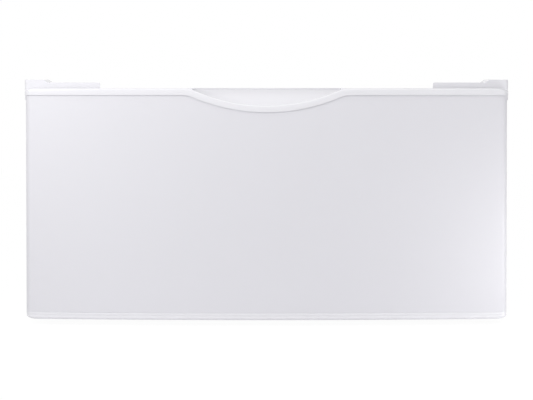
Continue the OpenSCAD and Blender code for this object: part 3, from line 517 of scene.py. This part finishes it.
def turned(points, steps):
    """A round shape: a row of points from the axis out and back, turned about Z."""
    bm = chain(points)
    bmesh.ops.spin(bm, geom=bm.verts[:] + bm.edges[:], cent=(0, 0, 0), axis=UP, angle=2 * math.pi, steps=steps,
                   use_merge=True)
    bmesh.ops.remove_doubles(bm, verts=bm.verts, dist=WELD)
    bmesh.ops.recalc_face_normals(bm, faces=bm.faces)
    return bm


def quarter(centre, radius, start, end, steps=4):
    """Points of an arc in Y and Z, from one angle to another in degrees."""
    angles = [math.radians(start + (end - start) * i / steps) for i in range(steps + 1)]
    return [Vector((0.0, centre[0] + radius * math.cos(a), centre[1] + radius * math.sin(a))) for a in angles]


# ---------------------------------------------------------------- the bowed drawer front

class DrawerFront:
    """Says where a point lies that is given along, ahead of and below the front's top edge."""

    def __init__(self, sizes):
        low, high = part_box("front_panel")
        self.sizes = sizes
        self.half_width = high.x
        self.back_y = high.y
        self.panel_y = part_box("inner_panel")[1].y
        self.skin_z = low.z
        self.top_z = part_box("top_trim")[1].z
        self.radius = (self.half_width ** 2 + sizes.bow ** 2) / (2 * sizes.bow)
        self.centre_y = low.y + self.radius
        inner = self.radius - sizes.corner_radius
        self.corner_x = self.half_width - sizes.corner_radius
        self.turn = math.asin(self.corner_x / inner)
        self.corner_y = self.centre_y - inner * math.cos(self.turn)
        self.bow_end = self.radius * math.sin(self.turn)
        self.corner_end = self.bow_end + (math.pi / 2 - self.turn) * sizes.corner_radius
        self.side_end = self.corner_end + self.back_y - sizes.back_radius - self.corner_y
        half = sizes.scoop_width / 2
        self.scoop_end = half
        self.scoop_radius = (half ** 2 + sizes.scoop_depth ** 2) / (2 * sizes.scoop_depth) - sizes.shoulder_radius
        self.scoop_z = self.top_z - sizes.scoop_depth + self.scoop_radius
        self.shoulder_z = self.top_z - sizes.shoulder_radius
        self.shoulder_start = half * self.scoop_radius / (self.scoop_radius + sizes.shoulder_radius)

    def plan(self, along, out):
        """The place, seen from above, of a point along the face and out ahead of it."""
        side = math.copysign(1.0, along)
        along = abs(along)
        radius = self.sizes.corner_radius
        if along <= self.bow_end:
            lean = math.asin(along / self.radius)
            reach = self.radius + out
            return side * reach * math.sin(lean), self.centre_y - reach * math.cos(lean)
        if along <= self.corner_end:
            lean = self.turn + (along - self.bow_end) / radius
            reach = radius + out
            return side * (self.corner_x + reach * math.sin(lean)), self.corner_y - reach * math.cos(lean)
        back = self.sizes.back_radius
        if along <= self.side_end:
            return side * (self.half_width + out), self.corner_y + along - self.corner_end
        lean = min((along - self.side_end) / back, math.pi / 2)
        inward = along - self.side_end - lean * back
        x = self.half_width - back + (back + out) * math.cos(lean) - inward
        return side * x, self.back_y - back + (back + out) * math.sin(lean)

    def edge(self, along, depth):
        """The point on the top edge, moved down square to the scoop's line: its place along and its height."""
        side = math.copysign(1.0, along)
        along = abs(along)
        if along <= self.shoulder_start:
            lean = math.asin(along / self.scoop_radius)
            reach = self.scoop_radius + depth
            return side * reach * math.sin(lean), self.scoop_z - reach * math.cos(lean)
        if along < self.scoop_end:
            lean = math.asin((self.scoop_end - along) / self.sizes.shoulder_radius)
            reach = self.sizes.shoulder_radius - depth
            return side * (self.scoop_end - reach * math.sin(lean)), self.shoulder_z + reach * math.cos(lean)
        return side * along, self.top_z - depth

    def stations(self, end):
        """Places of the mesh's columns along the front, out to an end on both sides."""
        across = round(self.bow_end / self.sizes.column)
        turns = self.sizes.corner_steps
        half = [self.bow_end * i / across for i in range(1, across + 1)]
        half += [self.bow_end + (self.corner_end - self.bow_end) * i / turns for i in range(1, turns + 1)]
        if end > self.corner_end:
            side = min(end, self.side_end) - self.corner_end
            half += [self.corner_end + side * i / 3 for i in (1, 2, 3)]
            if end > self.side_end:
                fold = self.sizes.back_radius * math.pi / 2
                half += [self.side_end + fold * i / 3 for i in (1, 2, 3)] + [end]
        return [-s for s in reversed(half)] + [0.0] + half

    def sweep(self, points, closed, end):
        """Draws a profile, whose points have Y inwards and Z up, out along the whole front, still straight."""
        stations = self.stations(end)
        bm = chain([(stations[0], p.y, p.z) for p in points])
        bm.verts.ensure_lookup_table()
        if closed:
            bm.edges.new((bm.verts[-1], bm.verts[0]))
        rim = bm.edges[:]
        ends = [rim]
        for a, b in zip(stations, stations[1:]):
            result = bmesh.ops.extrude_edge_only(bm, edges=rim)
            bmesh.ops.translate(bm, verts=new_part(result, bmesh.types.BMVert), vec=(b - a, 0, 0))
            rim = new_part(result, bmesh.types.BMEdge)
        if closed:
            ends.append(rim)
            for loop in ends:
                bmesh.ops.edgeloop_fill(bm, edges=[e for e in loop if len(e.link_faces) < 2])
        return bm

    def bend(self, bm, follow_scoop):
        """Bends what was drawn straight onto the front. Its Z is a height, or with the scoop minus a depth."""
        for vert in bm.verts:
            along, height = vert.co.x, vert.co.z
            if follow_scoop:
                along, height = self.edge(along, -height)
            x, y = self.plan(along, -vert.co.y)
            vert.co = (x, y, height)
        bmesh.ops.recalc_face_normals(bm, faces=bm.faces)

    def plate(self, out, y_rows, top):
        """A level plate from a line behind the face to the back, its top at a height."""
        points = [self.plan(s, out) for s in self.stations(self.corner_end)]
        bm = chain([(x, y, top) for x, y in points])
        rim = bm.edges[:]
        for y in y_rows:
            result = bmesh.ops.extrude_edge_only(bm, edges=rim)
            for vert in new_part(result, bmesh.types.BMVert):
                vert.co.y = max(y, vert.co.y)
            rim = new_part(result, bmesh.types.BMEdge)
        face_towards(bm, UP)
        return bm

    def rear_wall(self, out, near_y, far_y, top, height):
        """An upright wall across the front's back, from one Y to another."""
        wall = self.plate(out, [near_y, far_y], top)
        bmesh.ops.delete(wall, geom=[f for f in wall.faces if f.calc_center_median().y < near_y], context="FACES")
        give_depth(wall, height)
        return wall

    def curve_ends(self, bm, kept_z, moved_z, width, amount):
        """Moves one level towards another, which stays, over a width at both outer ends of the front."""
        for vert in bm.verts:
            near = min(max(1.0 - (self.half_width - abs(vert.co.x)) / width, 0.0), 1.0) ** END_CURVE
            part = (vert.co.z - kept_z) / (moved_z - kept_z)
            vert.co.z -= math.copysign(amount, moved_z - kept_z) * near * part


def give_depth(bm, thickness):
    """Turns a level sheet that faces up into a closed plate below itself."""
    result = bmesh.ops.extrude_face_region(bm, geom=bm.faces[:])
    bmesh.ops.translate(bm, verts=new_part(result, bmesh.types.BMVert), vec=(0, 0, -thickness))
    bmesh.ops.recalc_face_normals(bm, faces=bm.faces)


def drawer_front():
    return DrawerFront(bpy.context.scene.pedestal_front)


class PEDESTAL_OT_front_panel(bpy.types.Operator):
    """Make the bowed steel skin of the drawer front, with its folds behind"""
    bl_idname = "pedestal.front_panel"
    bl_label = "Front Panel"

    def execute(self, context):
        sizes = context.scene.pedestal_front
        front = drawer_front()
        first = sizes.band_height + sizes.seam
        last = front.top_z - front.skin_z
        rows = [first + (last - first) * i / sizes.skin_rows for i in range(sizes.skin_rows + 1)]
        fold_end = front.side_end + sizes.back_radius * math.pi / 2 + sizes.fold_width
        bm = front.sweep([Vector((0.0, 0.0, -depth)) for depth in rows], False, fold_end)
        for vert in bm.verts:
            sink = (-vert.co.z - first) / (last - first)
            edge_along, edge_z = front.edge(vert.co.x, first)
            along = edge_along + (vert.co.x - edge_along) * sink
            vert.co.z = edge_z + (front.skin_z - edge_z) * sink
            vert.co.x, vert.co.y = front.plan(along, 0.0)
        face_towards(bm, AHEAD)
        skin = add_piece("front_panel_skin", bm, ["front_panel"])
        thicken(skin, sizes.skin_thickness)
        round_edges(skin, sizes.skin_edge, 2, 50.0)
        return {"FINISHED"}


class PEDESTAL_OT_top_trim(bpy.types.Operator):
    """Make the band along the top: a rounded lip that follows the scoop, a plate behind it and a rear wall"""
    bl_idname = "pedestal.top_trim"
    bl_label = "Top Trim"

    def execute(self, context):
        sizes = context.scene.pedestal_front
        front = drawer_front()
        face = -sizes.band_proud
        inner = face + sizes.lip_thickness
        r, e = sizes.band_round, sizes.band_edge
        profile = quarter((face + r, -r), r, 180, 90, 5)
        profile += [Vector((0.0, face + r + (inner - face - r) * i / 4, 0.0)) for i in (1, 2, 3, 4)]
        profile += [Vector((0.0, inner, -sizes.band_height))]
        profile += quarter((face + e, e - sizes.band_height), e, 270, 180, 3)
        lip = front.sweep(profile, True, front.side_end)
        front.bend(lip, True)
        opening_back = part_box("handle_cup")[1].y - sizes.cup_wall
        overlap = sizes.lip_thickness / 3
        plate = front.plate(-(inner - overlap), [opening_back, front.back_y], front.top_z)
        half = front.scoop_end - math.sqrt(2 * sizes.shoulder_radius * sizes.top_thickness)
        gone = [f for f in plate.faces
                if abs(f.calc_center_median().x) < half and f.calc_center_median().y < opening_back]
        bmesh.ops.delete(plate, geom=gone, context="FACES")
        give_depth(plate, sizes.top_thickness)
        wall = front.rear_wall(-(inner - overlap), front.panel_y, front.back_y, front.top_z, sizes.band_height)
        for bm in (lip, plate, wall):
            front.curve_ends(bm, front.top_z - sizes.band_height, front.top_z, sizes.drop_width, sizes.band_drop)
        bm = carve(carve(lip, plate, "UNION"), wall, "UNION")
        flatten(bm, 0.05)
        add_piece("top_trim_band", bm, ["top_trim"])
        return {"FINISHED"}


class PEDESTAL_OT_handle_cup(bpy.types.Operator):
    """Make the finger recess: a rounded tray behind the scoop, its front wall cut to the scoop's line"""
    bl_idname = "pedestal.handle_cup"
    bl_label = "Finger Recess"

    def execute(self, context):
        sizes = context.scene.pedestal_front
        front = drawer_front()
        low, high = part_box("handle_cup")
        wall = sizes.cup_wall
        half = front.scoop_end + 3 * wall
        inset = sizes.lip_thickness - sizes.band_proud + sizes.seam + wall
        front_y = front.plan(0.0, -inset)[1]
        back_y = high.y - wall
        bm = bmesh.new()
        bmesh.ops.create_cube(bm, size=1.0)
        corner_low = Vector((-half, front_y, low.z + wall))
        size = Vector((half, back_y, high.z)) - corner_low
        bmesh.ops.scale(bm, vec=size, verts=bm.verts)
        bmesh.ops.translate(bm, vec=corner_low + size / 2, verts=bm.verts)
        lid = [f for f in bm.faces if f.normal.z > 0.5]
        bmesh.ops.delete(bm, geom=lid, context="FACES")
        folds = [e for e in bm.edges if len(e.link_faces) == 2]
        round_off(bm, folds, sizes.cup_round, 5)
        columns = round(half / sizes.column)
        for i in range(-columns + 1, columns):
            bmesh.ops.bisect_plane(bm, geom=bm.verts[:] + bm.edges[:] + bm.faces[:], dist=WELD,
                                   plane_co=(half * i / columns, 0, 0), plane_no=(1, 0, 0))
        for vert in bm.verts:
            ahead = (back_y - vert.co.y) / (back_y - front_y)
            if vert.co.z > high.z - wall and ahead > 0.5:
                edge_z = front.edge(vert.co.x, sizes.top_thickness)[1]
                vert.co.z = min(vert.co.z, edge_z)
            vert.co.y += ahead * (front.plan(vert.co.x, -inset)[1] - front_y)
        face_towards(bm, UP)
        cup = add_piece("finger_cup", bm, ["handle_cup"])
        thicken(cup, wall)
        return {"FINISHED"}


class PEDESTAL_OT_bottom_trim(bpy.types.Operator):
    """Make the strip along the bottom: two rounded beads with a groove between, a floor and a rear wall"""
    bl_idname = "pedestal.bottom_trim"
    bl_label = "Bottom Trim"

    def execute(self, context):
        sizes = context.scene.pedestal_front
        front = drawer_front()
        floor_z, tongue_z = (corner.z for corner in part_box("bottom_trim"))
        top_z = front.skin_z - sizes.seam
        bead, depth = sizes.strip_bead, sizes.bead_depth
        radius = bead ** 2 / (8 * depth) + depth / 2
        lean = math.degrees(math.asin(bead / 2 / radius))
        lower_z = top_z - bead * 1.5
        lower_r = lower_z - floor_z
        profile = [Vector((0.0, sizes.strip_wall, top_z))]
        profile += quarter((radius, top_z - bead / 2), radius, 180 - lean, 180 + lean, 6)
        profile += quarter((radius, lower_z), radius, 180 - lean, 180, 3)[1:]
        profile += quarter((lower_r, lower_z), lower_r, 180, 270, 6)[1:]
        profile += [Vector((0.0, sizes.strip_wall, floor_z))]
        strip = front.sweep(profile, True, front.side_end)
        front.bend(strip, False)
        inset = sizes.strip_floor / 2 - sizes.strip_wall
        plate = front.plate(inset, [front.back_y], floor_z + sizes.strip_floor)
        give_depth(plate, sizes.strip_floor)
        seat_z = floor_z + sizes.strip_floor / 2
        apart = sizes.strip_floor / 6    # keeps the wall's ends off the plate's, so that no two faces coincide
        wall = front.rear_wall(inset - apart, front.panel_y - sizes.strip_floor, front.panel_y,
                               tongue_z, tongue_z - seat_z)
        for bm in (strip, plate, wall):
            front.curve_ends(bm, top_z, floor_z, sizes.lift_width, sizes.strip_lift)
        bm = carve(strip, carve(plate, wall, "UNION"), "UNION")
        flatten(bm, 0.05)
        add_piece("bottom_trim_strip", bm, ["bottom_trim"], 50.0)
        return {"FINISHED"}


# ---------------------------------------------------------------- drawer box

class PEDESTAL_OT_drawer_box(bpy.types.Operator):
    """Finish the drawer's steel box and the plate behind its front"""
    bl_idname = "pedestal.drawer_box"
    bl_label = "Drawer Box"

    def execute(self, context):
        sizes = context.scene.pedestal_sheets
        for node in ("inner_panel", "drawer_side_left", "drawer_side_right", "drawer_back"):
            softened(node, sizes.box_edge)
        stamped("drawer_bottom", sizes.bead, sizes.box_edge)
        return {"FINISHED"}


def stamped(node, bead, edge):
    """A stamped sheet: its beads' bends become smooth curves."""
    bm = merged(node)
    shallow, steep = BEAD_BEND
    bends = [e for e in bm.edges if len(e.link_faces) == 2 and shallow < e.calc_face_angle() < steep]
    round_off(bm, bends, bead, 4)
    softened(node, edge, shape=bm)


# ---------------------------------------------------------------- cabinet

class PEDESTAL_OT_side_panels(bpy.types.Operator):
    """Finish the folded side panels with rounded folds"""
    bl_idname = "pedestal.side_panels"
    bl_label = "Side Panels"

    def execute(self, context):
        sizes = context.scene.pedestal_sheets
        for side in SIDES:
            node = f"side_panel_{side}"
            low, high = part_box(node)
            outer_x = low.x if side == "left" else high.x
            bm = merged(node)
            folds = [e for e in bm.edges
                     if all(abs(v.co.x - outer_x) < WELD for v in e.verts) and e.calc_face_angle(0.0) > FOLD_BEND]
            round_off(bm, folds, sizes.fold, 4, clamp=False)
            softened(node, sizes.sheet_edge, shape=bm)
        return {"FINISHED"}


class PEDESTAL_OT_stamped_sheets(bpy.types.Operator):
    """Finish the deck and the back panel with their stamped beads"""
    bl_idname = "pedestal.stamped_sheets"
    bl_label = "Deck and Back"

    def execute(self, context):
        sizes = context.scene.pedestal_sheets
        for node in ("top_deck", "back_panel"):
            stamped(node, sizes.bead, sizes.sheet_edge)
        return {"FINISHED"}


class PEDESTAL_OT_frame(bpy.types.Operator):
    """Finish the cross rails and the gussets that carry the feet"""
    bl_idname = "pedestal.frame"
    bl_label = "Rails and Gussets"

    def execute(self, context):
        sizes = context.scene.pedestal_sheets
        for row in ROWS:
            softened(f"{row}_top_rail", sizes.sheet_edge)
            softened(f"{row}_base_rail", sizes.sheet_edge)
        for corner in CORNERS:
            softened(f"foot_bracket_{corner}", sizes.sheet_edge)
        return {"FINISHED"}


class PEDESTAL_OT_corner_caps(bpy.types.Operator):
    """Finish the moulded corner caps with rounded edges, and the front ones with drafted inner ends"""
    bl_idname = "pedestal.corner_caps"
    bl_label = "Corner Caps"

    def execute(self, context):
        sizes = context.scene.pedestal_sheets
        for side in SIDES:
            node = f"front_corner_cap_{side}"
            low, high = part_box(node)
            end_x = min(abs(low.x), abs(high.x)) + sizes.cap_end
            cap = merged(node)
            for vert in cap.verts:
                if abs(vert.co.x) < end_x:
                    vert.co.x += math.copysign((vert.co.y - low.y) * math.tan(sizes.cap_draft), vert.co.x)
            softened(node, sizes.cap_edge, 3, shape=cap)
            softened(f"rear_corner_cap_{side}", sizes.cap_edge, 3)
        return {"FINISHED"}


class PEDESTAL_OT_bumpers(bpy.types.Operator):
    """Finish the rubber bumpers of the drawer front"""
    bl_idname = "pedestal.bumpers"
    bl_label = "Bumpers"

    def execute(self, context):
        softened("drawer_bumpers", context.scene.pedestal_sheets.rubber_edge, 3)
        return {"FINISHED"}


# ---------------------------------------------------------------- slides

class PEDESTAL_OT_slides(bpy.types.Operator):
    """Finish the telescopic slides' members, cages and brackets"""
    bl_idname = "pedestal.slides"
    bl_label = "Slides"

    def execute(self, context):
        edge = context.scene.pedestal_sheets.slide_edge
        for side in SIDES:
            for part in ("bracket", "outer", "middle", "inner"):
                softened(f"slide_{part}_{side}", edge)
            for row in ("outer", "inner"):
                node = f"slide_{row}_cage_{side}"
                add_piece(f"{node}_finished", merged(node), [node])
        return {"FINISHED"}


class PEDESTAL_OT_balls(bpy.types.Operator):
    """Make the slides' bearing balls"""
    bl_idname = "pedestal.balls"
    bl_label = "Bearing Balls"

    def execute(self, context):
        steps = context.scene.pedestal_hardware.ball_steps
        for side in SIDES:
            for row in ("outer", "inner"):
                node = f"slide_{row}_balls_{side}"
                boxes = solid_boxes(node)
                ball = bmesh.new()
                radius = (boxes[0][1].z - boxes[0][0].z) / 2
                bmesh.ops.create_uvsphere(ball, u_segments=steps, v_segments=steps // 2, radius=radius)
                places = [Matrix.Translation((low + high) / 2) for low, high in boxes]
                add_piece(f"{node}_finished", copies(ball, places), [node], 180.0)
        return {"FINISHED"}


# ---------------------------------------------------------------- fasteners

def solids(node):
    """The vertices' places of each separate solid of a CAD node."""
    bm = merged(node)
    left = set(bm.verts)
    found = []
    while left:
        group, front = [], [left.pop()]
        while front:
            vert = front.pop()
            group.append(vert.co.copy())
            near = {e.other_vert(vert) for e in vert.link_edges} & left
            left -= near
            front.extend(near)
        found.append(group)
    bm.free()
    return found


def corners(points):
    """The lowest and the highest corner of some points."""
    return (Vector([min(p[i] for p in points) for i in range(3)]),
            Vector([max(p[i] for p in points) for i in range(3)]))


def solid_boxes(node):
    return [corners(points) for points in solids(node)]


def fastener_places(node):
    """For each fastener of a node: a matrix that takes +Z to the way its head faces, at its head's underside,
    with its head's radius and height, its shank's radius and its shank's length."""
    places = []
    for points in solids(node):
        low, high = corners(points)
        size = high - low
        axis = max(range(3), key=lambda i: abs(size[i] - size[i - 1]) + abs(size[i] - size[i - 2]))
        across = [i for i in range(3) if i != axis]
        middle = (low + high) / 2
        head_r = size[across[0]] / 2
        reaches = [math.hypot(*(p[i] - middle[i] for i in across)) for p in points]
        wide = [p[axis] for p, reach in zip(points, reaches) if reach > 0.8 * head_r]
        shank_r = min(reach for reach in reaches if reach > 0.2 * head_r)
        faces_up = sum(wide) / len(wide) > middle[axis]
        direction = Vector((0.0, 0.0, 0.0))
        direction[axis] = 1.0 if faces_up else -1.0
        seat = middle.copy()
        seat[axis] = min(wide) if faces_up else max(wide)
        turn = UP.rotation_difference(direction).to_matrix().to_4x4()
        head_h = max(wide) - min(wide)
        places.append((Matrix.Translation(seat) @ turn, head_r, head_h, shank_r, size[axis] - head_h))
    return places


def screw_shape(sizes, head_r, head_h, shank_r, shank_l):
    """A pan-head screw with a cross recess and a pointed thread, its head's underside at the origin."""
    dome = min(sizes.dome, head_h / 3)
    rim = head_h - dome
    pitch = sizes.thread_pitch * 0.8    # finer than the studs' thread
    root = shank_r - shank_r * 0.22
    tip = min(2 * shank_r, shank_l / 2)
    taper = 0.55                        # width of the recess at its bottom, as a share of its top
    points = [(0, 0, head_h), (head_r * 0.45, 0, head_h - dome * 0.2), (head_r * 0.8, 0, rim + dome * 0.35),
              (head_r * 0.96, 0, rim * 0.75), (head_r, 0, rim * 0.4), (head_r, 0, 0), (root, 0, 0)]
    turns = int((shank_l - tip) / pitch)
    for i in range(turns):
        z = -i * pitch
        points += [(root, 0, z - pitch * 0.3), (shank_r, 0, z - pitch * 0.6), (root, 0, z - pitch * 0.9)]
    points += [(root, 0, tip - shank_l), (shank_r * 0.2, 0, -shank_l), (0, 0, -shank_l)]
    screw = turned(points, sizes.round_steps)
    arms = []
    for along, across in ((sizes.recess_length, sizes.recess_width), (sizes.recess_width, sizes.recess_length)):
        arm = bmesh.new()
        bmesh.ops.create_cube(arm, size=1.0)
        bmesh.ops.scale(arm, vec=(along, across, 2 * sizes.recess_depth), verts=arm.verts)
        low = [v for v in arm.verts if v.co.z < 0]
        bmesh.ops.scale(arm, vec=(taper, taper, 1.0), verts=low)
        bmesh.ops.translate(arm, vec=(0, 0, head_h), verts=arm.verts)
        arms.append(arm)
    return carve(screw, carve(*arms, "UNION"), "DIFFERENCE")


class PEDESTAL_OT_screws(bpy.types.Operator):
    """Make the screws, with domed heads and cross recesses"""
    bl_idname = "pedestal.screws"
    bl_label = "Screws"

    def execute(self, context):
        sizes = context.scene.pedestal_hardware
        for node in ("cabinet_screws", "cap_screws", "drawer_box_screws", "front_screws"):
            kinds = {}
            for matrix, *shape in fastener_places(node):
                kinds.setdefault(tuple(round(value, 5) for value in shape), []).append(matrix)
            bm = bmesh.new()
            for shape, places in kinds.items():
                join(bm, copies(screw_shape(sizes, *shape), places))
            add_piece(f"{node}_finished", bm, [node], 40.0)
        softened("slide_screws", sizes.screw_edge)
        return {"FINISHED"}


class PEDESTAL_OT_rivets(bpy.types.Operator):
    """Make the rivets that hold the slides to the drawer's sides"""
    bl_idname = "pedestal.rivets"
    bl_label = "Rivets"

    def execute(self, context):
        softened("slide_rivets", context.scene.pedestal_hardware.rivet_edge, 3)
        return {"FINISHED"}


class PEDESTAL_OT_nuts(bpy.types.Operator):
    """Finish the weld nuts and the lock nuts of the feet"""
    bl_idname = "pedestal.nuts"
    bl_label = "Nuts"

    def execute(self, context):
        edge = context.scene.pedestal_sheets.nut_edge
        for node in ("foot_weld_nuts", "foot_lock_nuts"):
            softened(node, edge)
        return {"FINISHED"}


# ---------------------------------------------------------------- levelling feet

def stud_shape(sizes, low, high, hexagon_z):
    """A levelling stud: a disc, a hexagon to turn it by, and a threaded stem, standing on Z from low to high."""
    root = sizes.stud_radius - sizes.thread_depth
    pad_low, pad_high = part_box("foot_pad_front_left")
    disc_r = (pad_high.x - pad_low.x) / 4
    lead = sizes.stud_lead
    stem = turned([(0, 0, low), (disc_r - lead, 0, low), (disc_r, 0, low + lead),
                   (disc_r, 0, low + sizes.disc_height - lead), (disc_r - lead, 0, low + sizes.disc_height),
                   (root, 0, low + sizes.disc_height), (root, 0, high - lead), (root - lead, 0, high),
                   (0, 0, high)], sizes.round_steps)
    pitch = sizes.thread_pitch
    start, turns = hexagon_z[1], int((high - hexagon_z[1]) / pitch) - 1
    thread = chain([(root - lead / 3, 0, start), (sizes.stud_radius, 0, start + pitch * 0.45),
                    (sizes.stud_radius, 0, start + pitch * 0.55), (root - lead / 3, 0, start + pitch)])
    thread.verts.ensure_lookup_table()
    thread.edges.new((thread.verts[-1], thread.verts[0]))
    steps = sizes.round_steps * turns
    bmesh.ops.spin(thread, geom=thread.verts[:] + thread.edges[:], cent=(0, 0, 0), axis=UP,
                   dvec=(0, 0, pitch * turns / steps), angle=2 * math.pi * turns, steps=steps, use_merge=False)
    bmesh.ops.holes_fill(thread, edges=[e for e in thread.edges if len(e.link_faces) == 1], sides=4)
    bmesh.ops.recalc_face_normals(thread, faces=thread.faces)
    join(stem, thread)
    collar = bmesh.new()
    bmesh.ops.create_cone(collar, cap_ends=True, segments=6, radius1=sizes.hexagon_radius,
                          radius2=sizes.hexagon_radius, depth=hexagon_z[1] - hexagon_z[0])
    round_off(collar, collar.edges[:], sizes.hexagon_edge, 2)
    bmesh.ops.translate(collar, vec=(0, 0, sum(hexagon_z) / 2), verts=collar.verts)
    join(stem, collar)
    return stem


class PEDESTAL_OT_studs(bpy.types.Operator):
    """Make the threaded studs of the levelling feet"""
    bl_idname = "pedestal.studs"
    bl_label = "Foot Studs"

    def execute(self, context):
        sizes = context.scene.pedestal_hardware
        gap = sizes.hexagon_gap
        pad_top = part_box("foot_pad_front_left")[1].z
        nut_under = min(low.z for low, high in solid_boxes("foot_lock_nuts"))
        for corner in CORNERS:
            node = f"foot_stud_{corner}"
            low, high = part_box(node)
            stud = stud_shape(sizes, low.z, high.z, (pad_top + gap, nut_under - gap))
            middle = (low + high) / 2
            bmesh.ops.translate(stud, vec=(middle.x, middle.y, 0), verts=stud.verts)
            add_piece(f"{node}_finished", stud, [node], 40.0)
        return {"FINISHED"}


class PEDESTAL_OT_pads(bpy.types.Operator):
    """Finish the rubber pads of the levelling feet"""
    bl_idname = "pedestal.pads"
    bl_label = "Foot Pads"

    def execute(self, context):
        edge = context.scene.pedestal_sheets.rubber_edge
        for corner in CORNERS:
            softened(f"foot_pad_{corner}", edge, 3)
        return {"FINISHED"}


# ---------------------------------------------------------------- stage

def seen_directly(tree):
    """1 for rays that the camera, a reflection or a refraction sends, and 0 for the rest."""
    path = tree.nodes.new("ShaderNodeLightPath")
    rays = [Value(tree, path.outputs[name]) for name in ("Is Camera Ray", "Is Glossy Ray", "Is Transmission Ray")]
    total = rays[0] + rays[1] + rays[2]
    total.socket.node.use_clamp = True
    return total


def floor_material(looks):
    """A white floor that keeps a little of the object's shadow."""
    finish = Finish("studio_floor", Base_Color=tuple(looks.floor_colour), Roughness=0.9, Specular_IOR_Level=0.1)
    tree = finish.tree
    glow = tree.nodes.new("ShaderNodeEmission")
    plug(tree, looks.floor_glow, glow.inputs["Strength"])
    mix = tree.nodes.new("ShaderNodeMixShader")
    plug(tree, seen_directly(tree) * (1.0 - looks.shadow), mix.inputs[0])
    tree.links.new(finish.surface.outputs[0], mix.inputs[1])
    tree.links.new(glow.outputs[0], mix.inputs[2])
    tree.links.new(mix.outputs[0], tree.nodes["Material Output"].inputs["Surface"])
    return finish.material


def add_lamp(name, place, aim, side, watts):
    """A square soft lamp at a place, turned to a point."""
    data = bpy.data.lights.new(name, "AREA")
    data.shape = "SQUARE"
    data.size = side
    data.energy = watts
    lamp = placed(name, data)
    lamp.location = place
    lamp.rotation_mode = "QUATERNION"
    lamp.rotation_quaternion = (Vector(aim) - Vector(place)).to_track_quat("-Z", "Y")


class PEDESTAL_OT_stage(bpy.types.Operator):
    """Make the floor, the light and the camera"""
    bl_idname = "pedestal.stage"
    bl_label = "Stage"

    def execute(self, context):
        scene = context.scene
        looks = scene.pedestal_studio
        bm = bmesh.new()
        bmesh.ops.create_grid(bm, x_segments=1, y_segments=1, size=looks.floor_size / 2)
        floor = placed("studio_floor", as_mesh("studio_floor", bm))
        floor.data.materials.append(floor_material(looks))

        world = bpy.data.worlds.new("studio")
        scene.world = world
        world.use_nodes = True
        tree = world.node_tree
        direct = seen_directly(tree)
        strength = direct * (1.0 - looks.ambient) + looks.ambient
        tree.links.new(strength.socket, tree.nodes["Background"].inputs["Strength"])
        tree.nodes["Background"].inputs["Color"].default_value = (1.0, 1.0, 1.0, 1.0)

        for lamp, watts in zip(LAMPS, (looks.top_power, looks.left_power, looks.right_power)):
            add_lamp(*lamp, watts)

        data = bpy.data.cameras.new("camera")
        data.sensor_width = 36.0
        data.lens = looks.lens
        data.clip_end = 100.0
        camera = placed("camera", data)
        camera.location = (0.0, -looks.camera_distance, looks.camera_height)
        camera.rotation_euler = (math.pi / 2 - looks.camera_pitch, 0.0, 0.0)
        scene.camera = camera
        scene.view_settings.view_transform = "Standard"
        return {"FINISHED"}


# ---------------------------------------------------------------- sidebar and registration

PIECE_OPERATORS = (
    PEDESTAL_OT_front_panel, PEDESTAL_OT_top_trim, PEDESTAL_OT_handle_cup, PEDESTAL_OT_bottom_trim,
    PEDESTAL_OT_drawer_box, PEDESTAL_OT_side_panels, PEDESTAL_OT_stamped_sheets, PEDESTAL_OT_frame,
    PEDESTAL_OT_corner_caps, PEDESTAL_OT_bumpers, PEDESTAL_OT_slides, PEDESTAL_OT_balls, PEDESTAL_OT_screws,
    PEDESTAL_OT_rivets, PEDESTAL_OT_nuts, PEDESTAL_OT_studs, PEDESTAL_OT_pads, PEDESTAL_OT_stage,
)
GROUPS = {
    "pedestal_front": FrontSizes,
    "pedestal_sheets": SheetSizes,
    "pedestal_hardware": HardwareSizes,
    "pedestal_finishes": FinishLooks,
    "pedestal_studio": StudioLooks,
}


class PEDESTAL_PT_sidebar(bpy.types.Panel):
    """The sizes, the looks and a button for each group of pieces"""
    bl_idname = "PEDESTAL_PT_sidebar"
    bl_label = "Pedestal"
    bl_space_type = "VIEW_3D"
    bl_region_type = "UI"
    bl_category = "Pedestal"

    def draw(self, context):
        for attribute, group in GROUPS.items():
            box = self.layout.box()
            for name in group.__annotations__:
                box.prop(getattr(context.scene, attribute), name)
        for operator in PIECE_OPERATORS:
            self.layout.operator(operator.bl_idname)


CLASSES = (*GROUPS.values(), *PIECE_OPERATORS, PEDESTAL_PT_sidebar)


def register():
    for cls in CLASSES:
        bpy.utils.register_class(cls)
    for attribute, group in GROUPS.items():
        setattr(bpy.types.Scene, attribute, PointerProperty(type=group))


def unregister():
    for attribute in GROUPS:
        delattr(bpy.types.Scene, attribute)
    for cls in reversed(CLASSES):
        bpy.utils.unregister_class(cls)


def main():
    """Makes every piece and the stage."""
    register()
    for operator in PIECE_OPERATORS:
        area, name = operator.bl_idname.split(".")
        getattr(getattr(bpy.ops, area), name)()


if __name__ == "__main__":
    main()
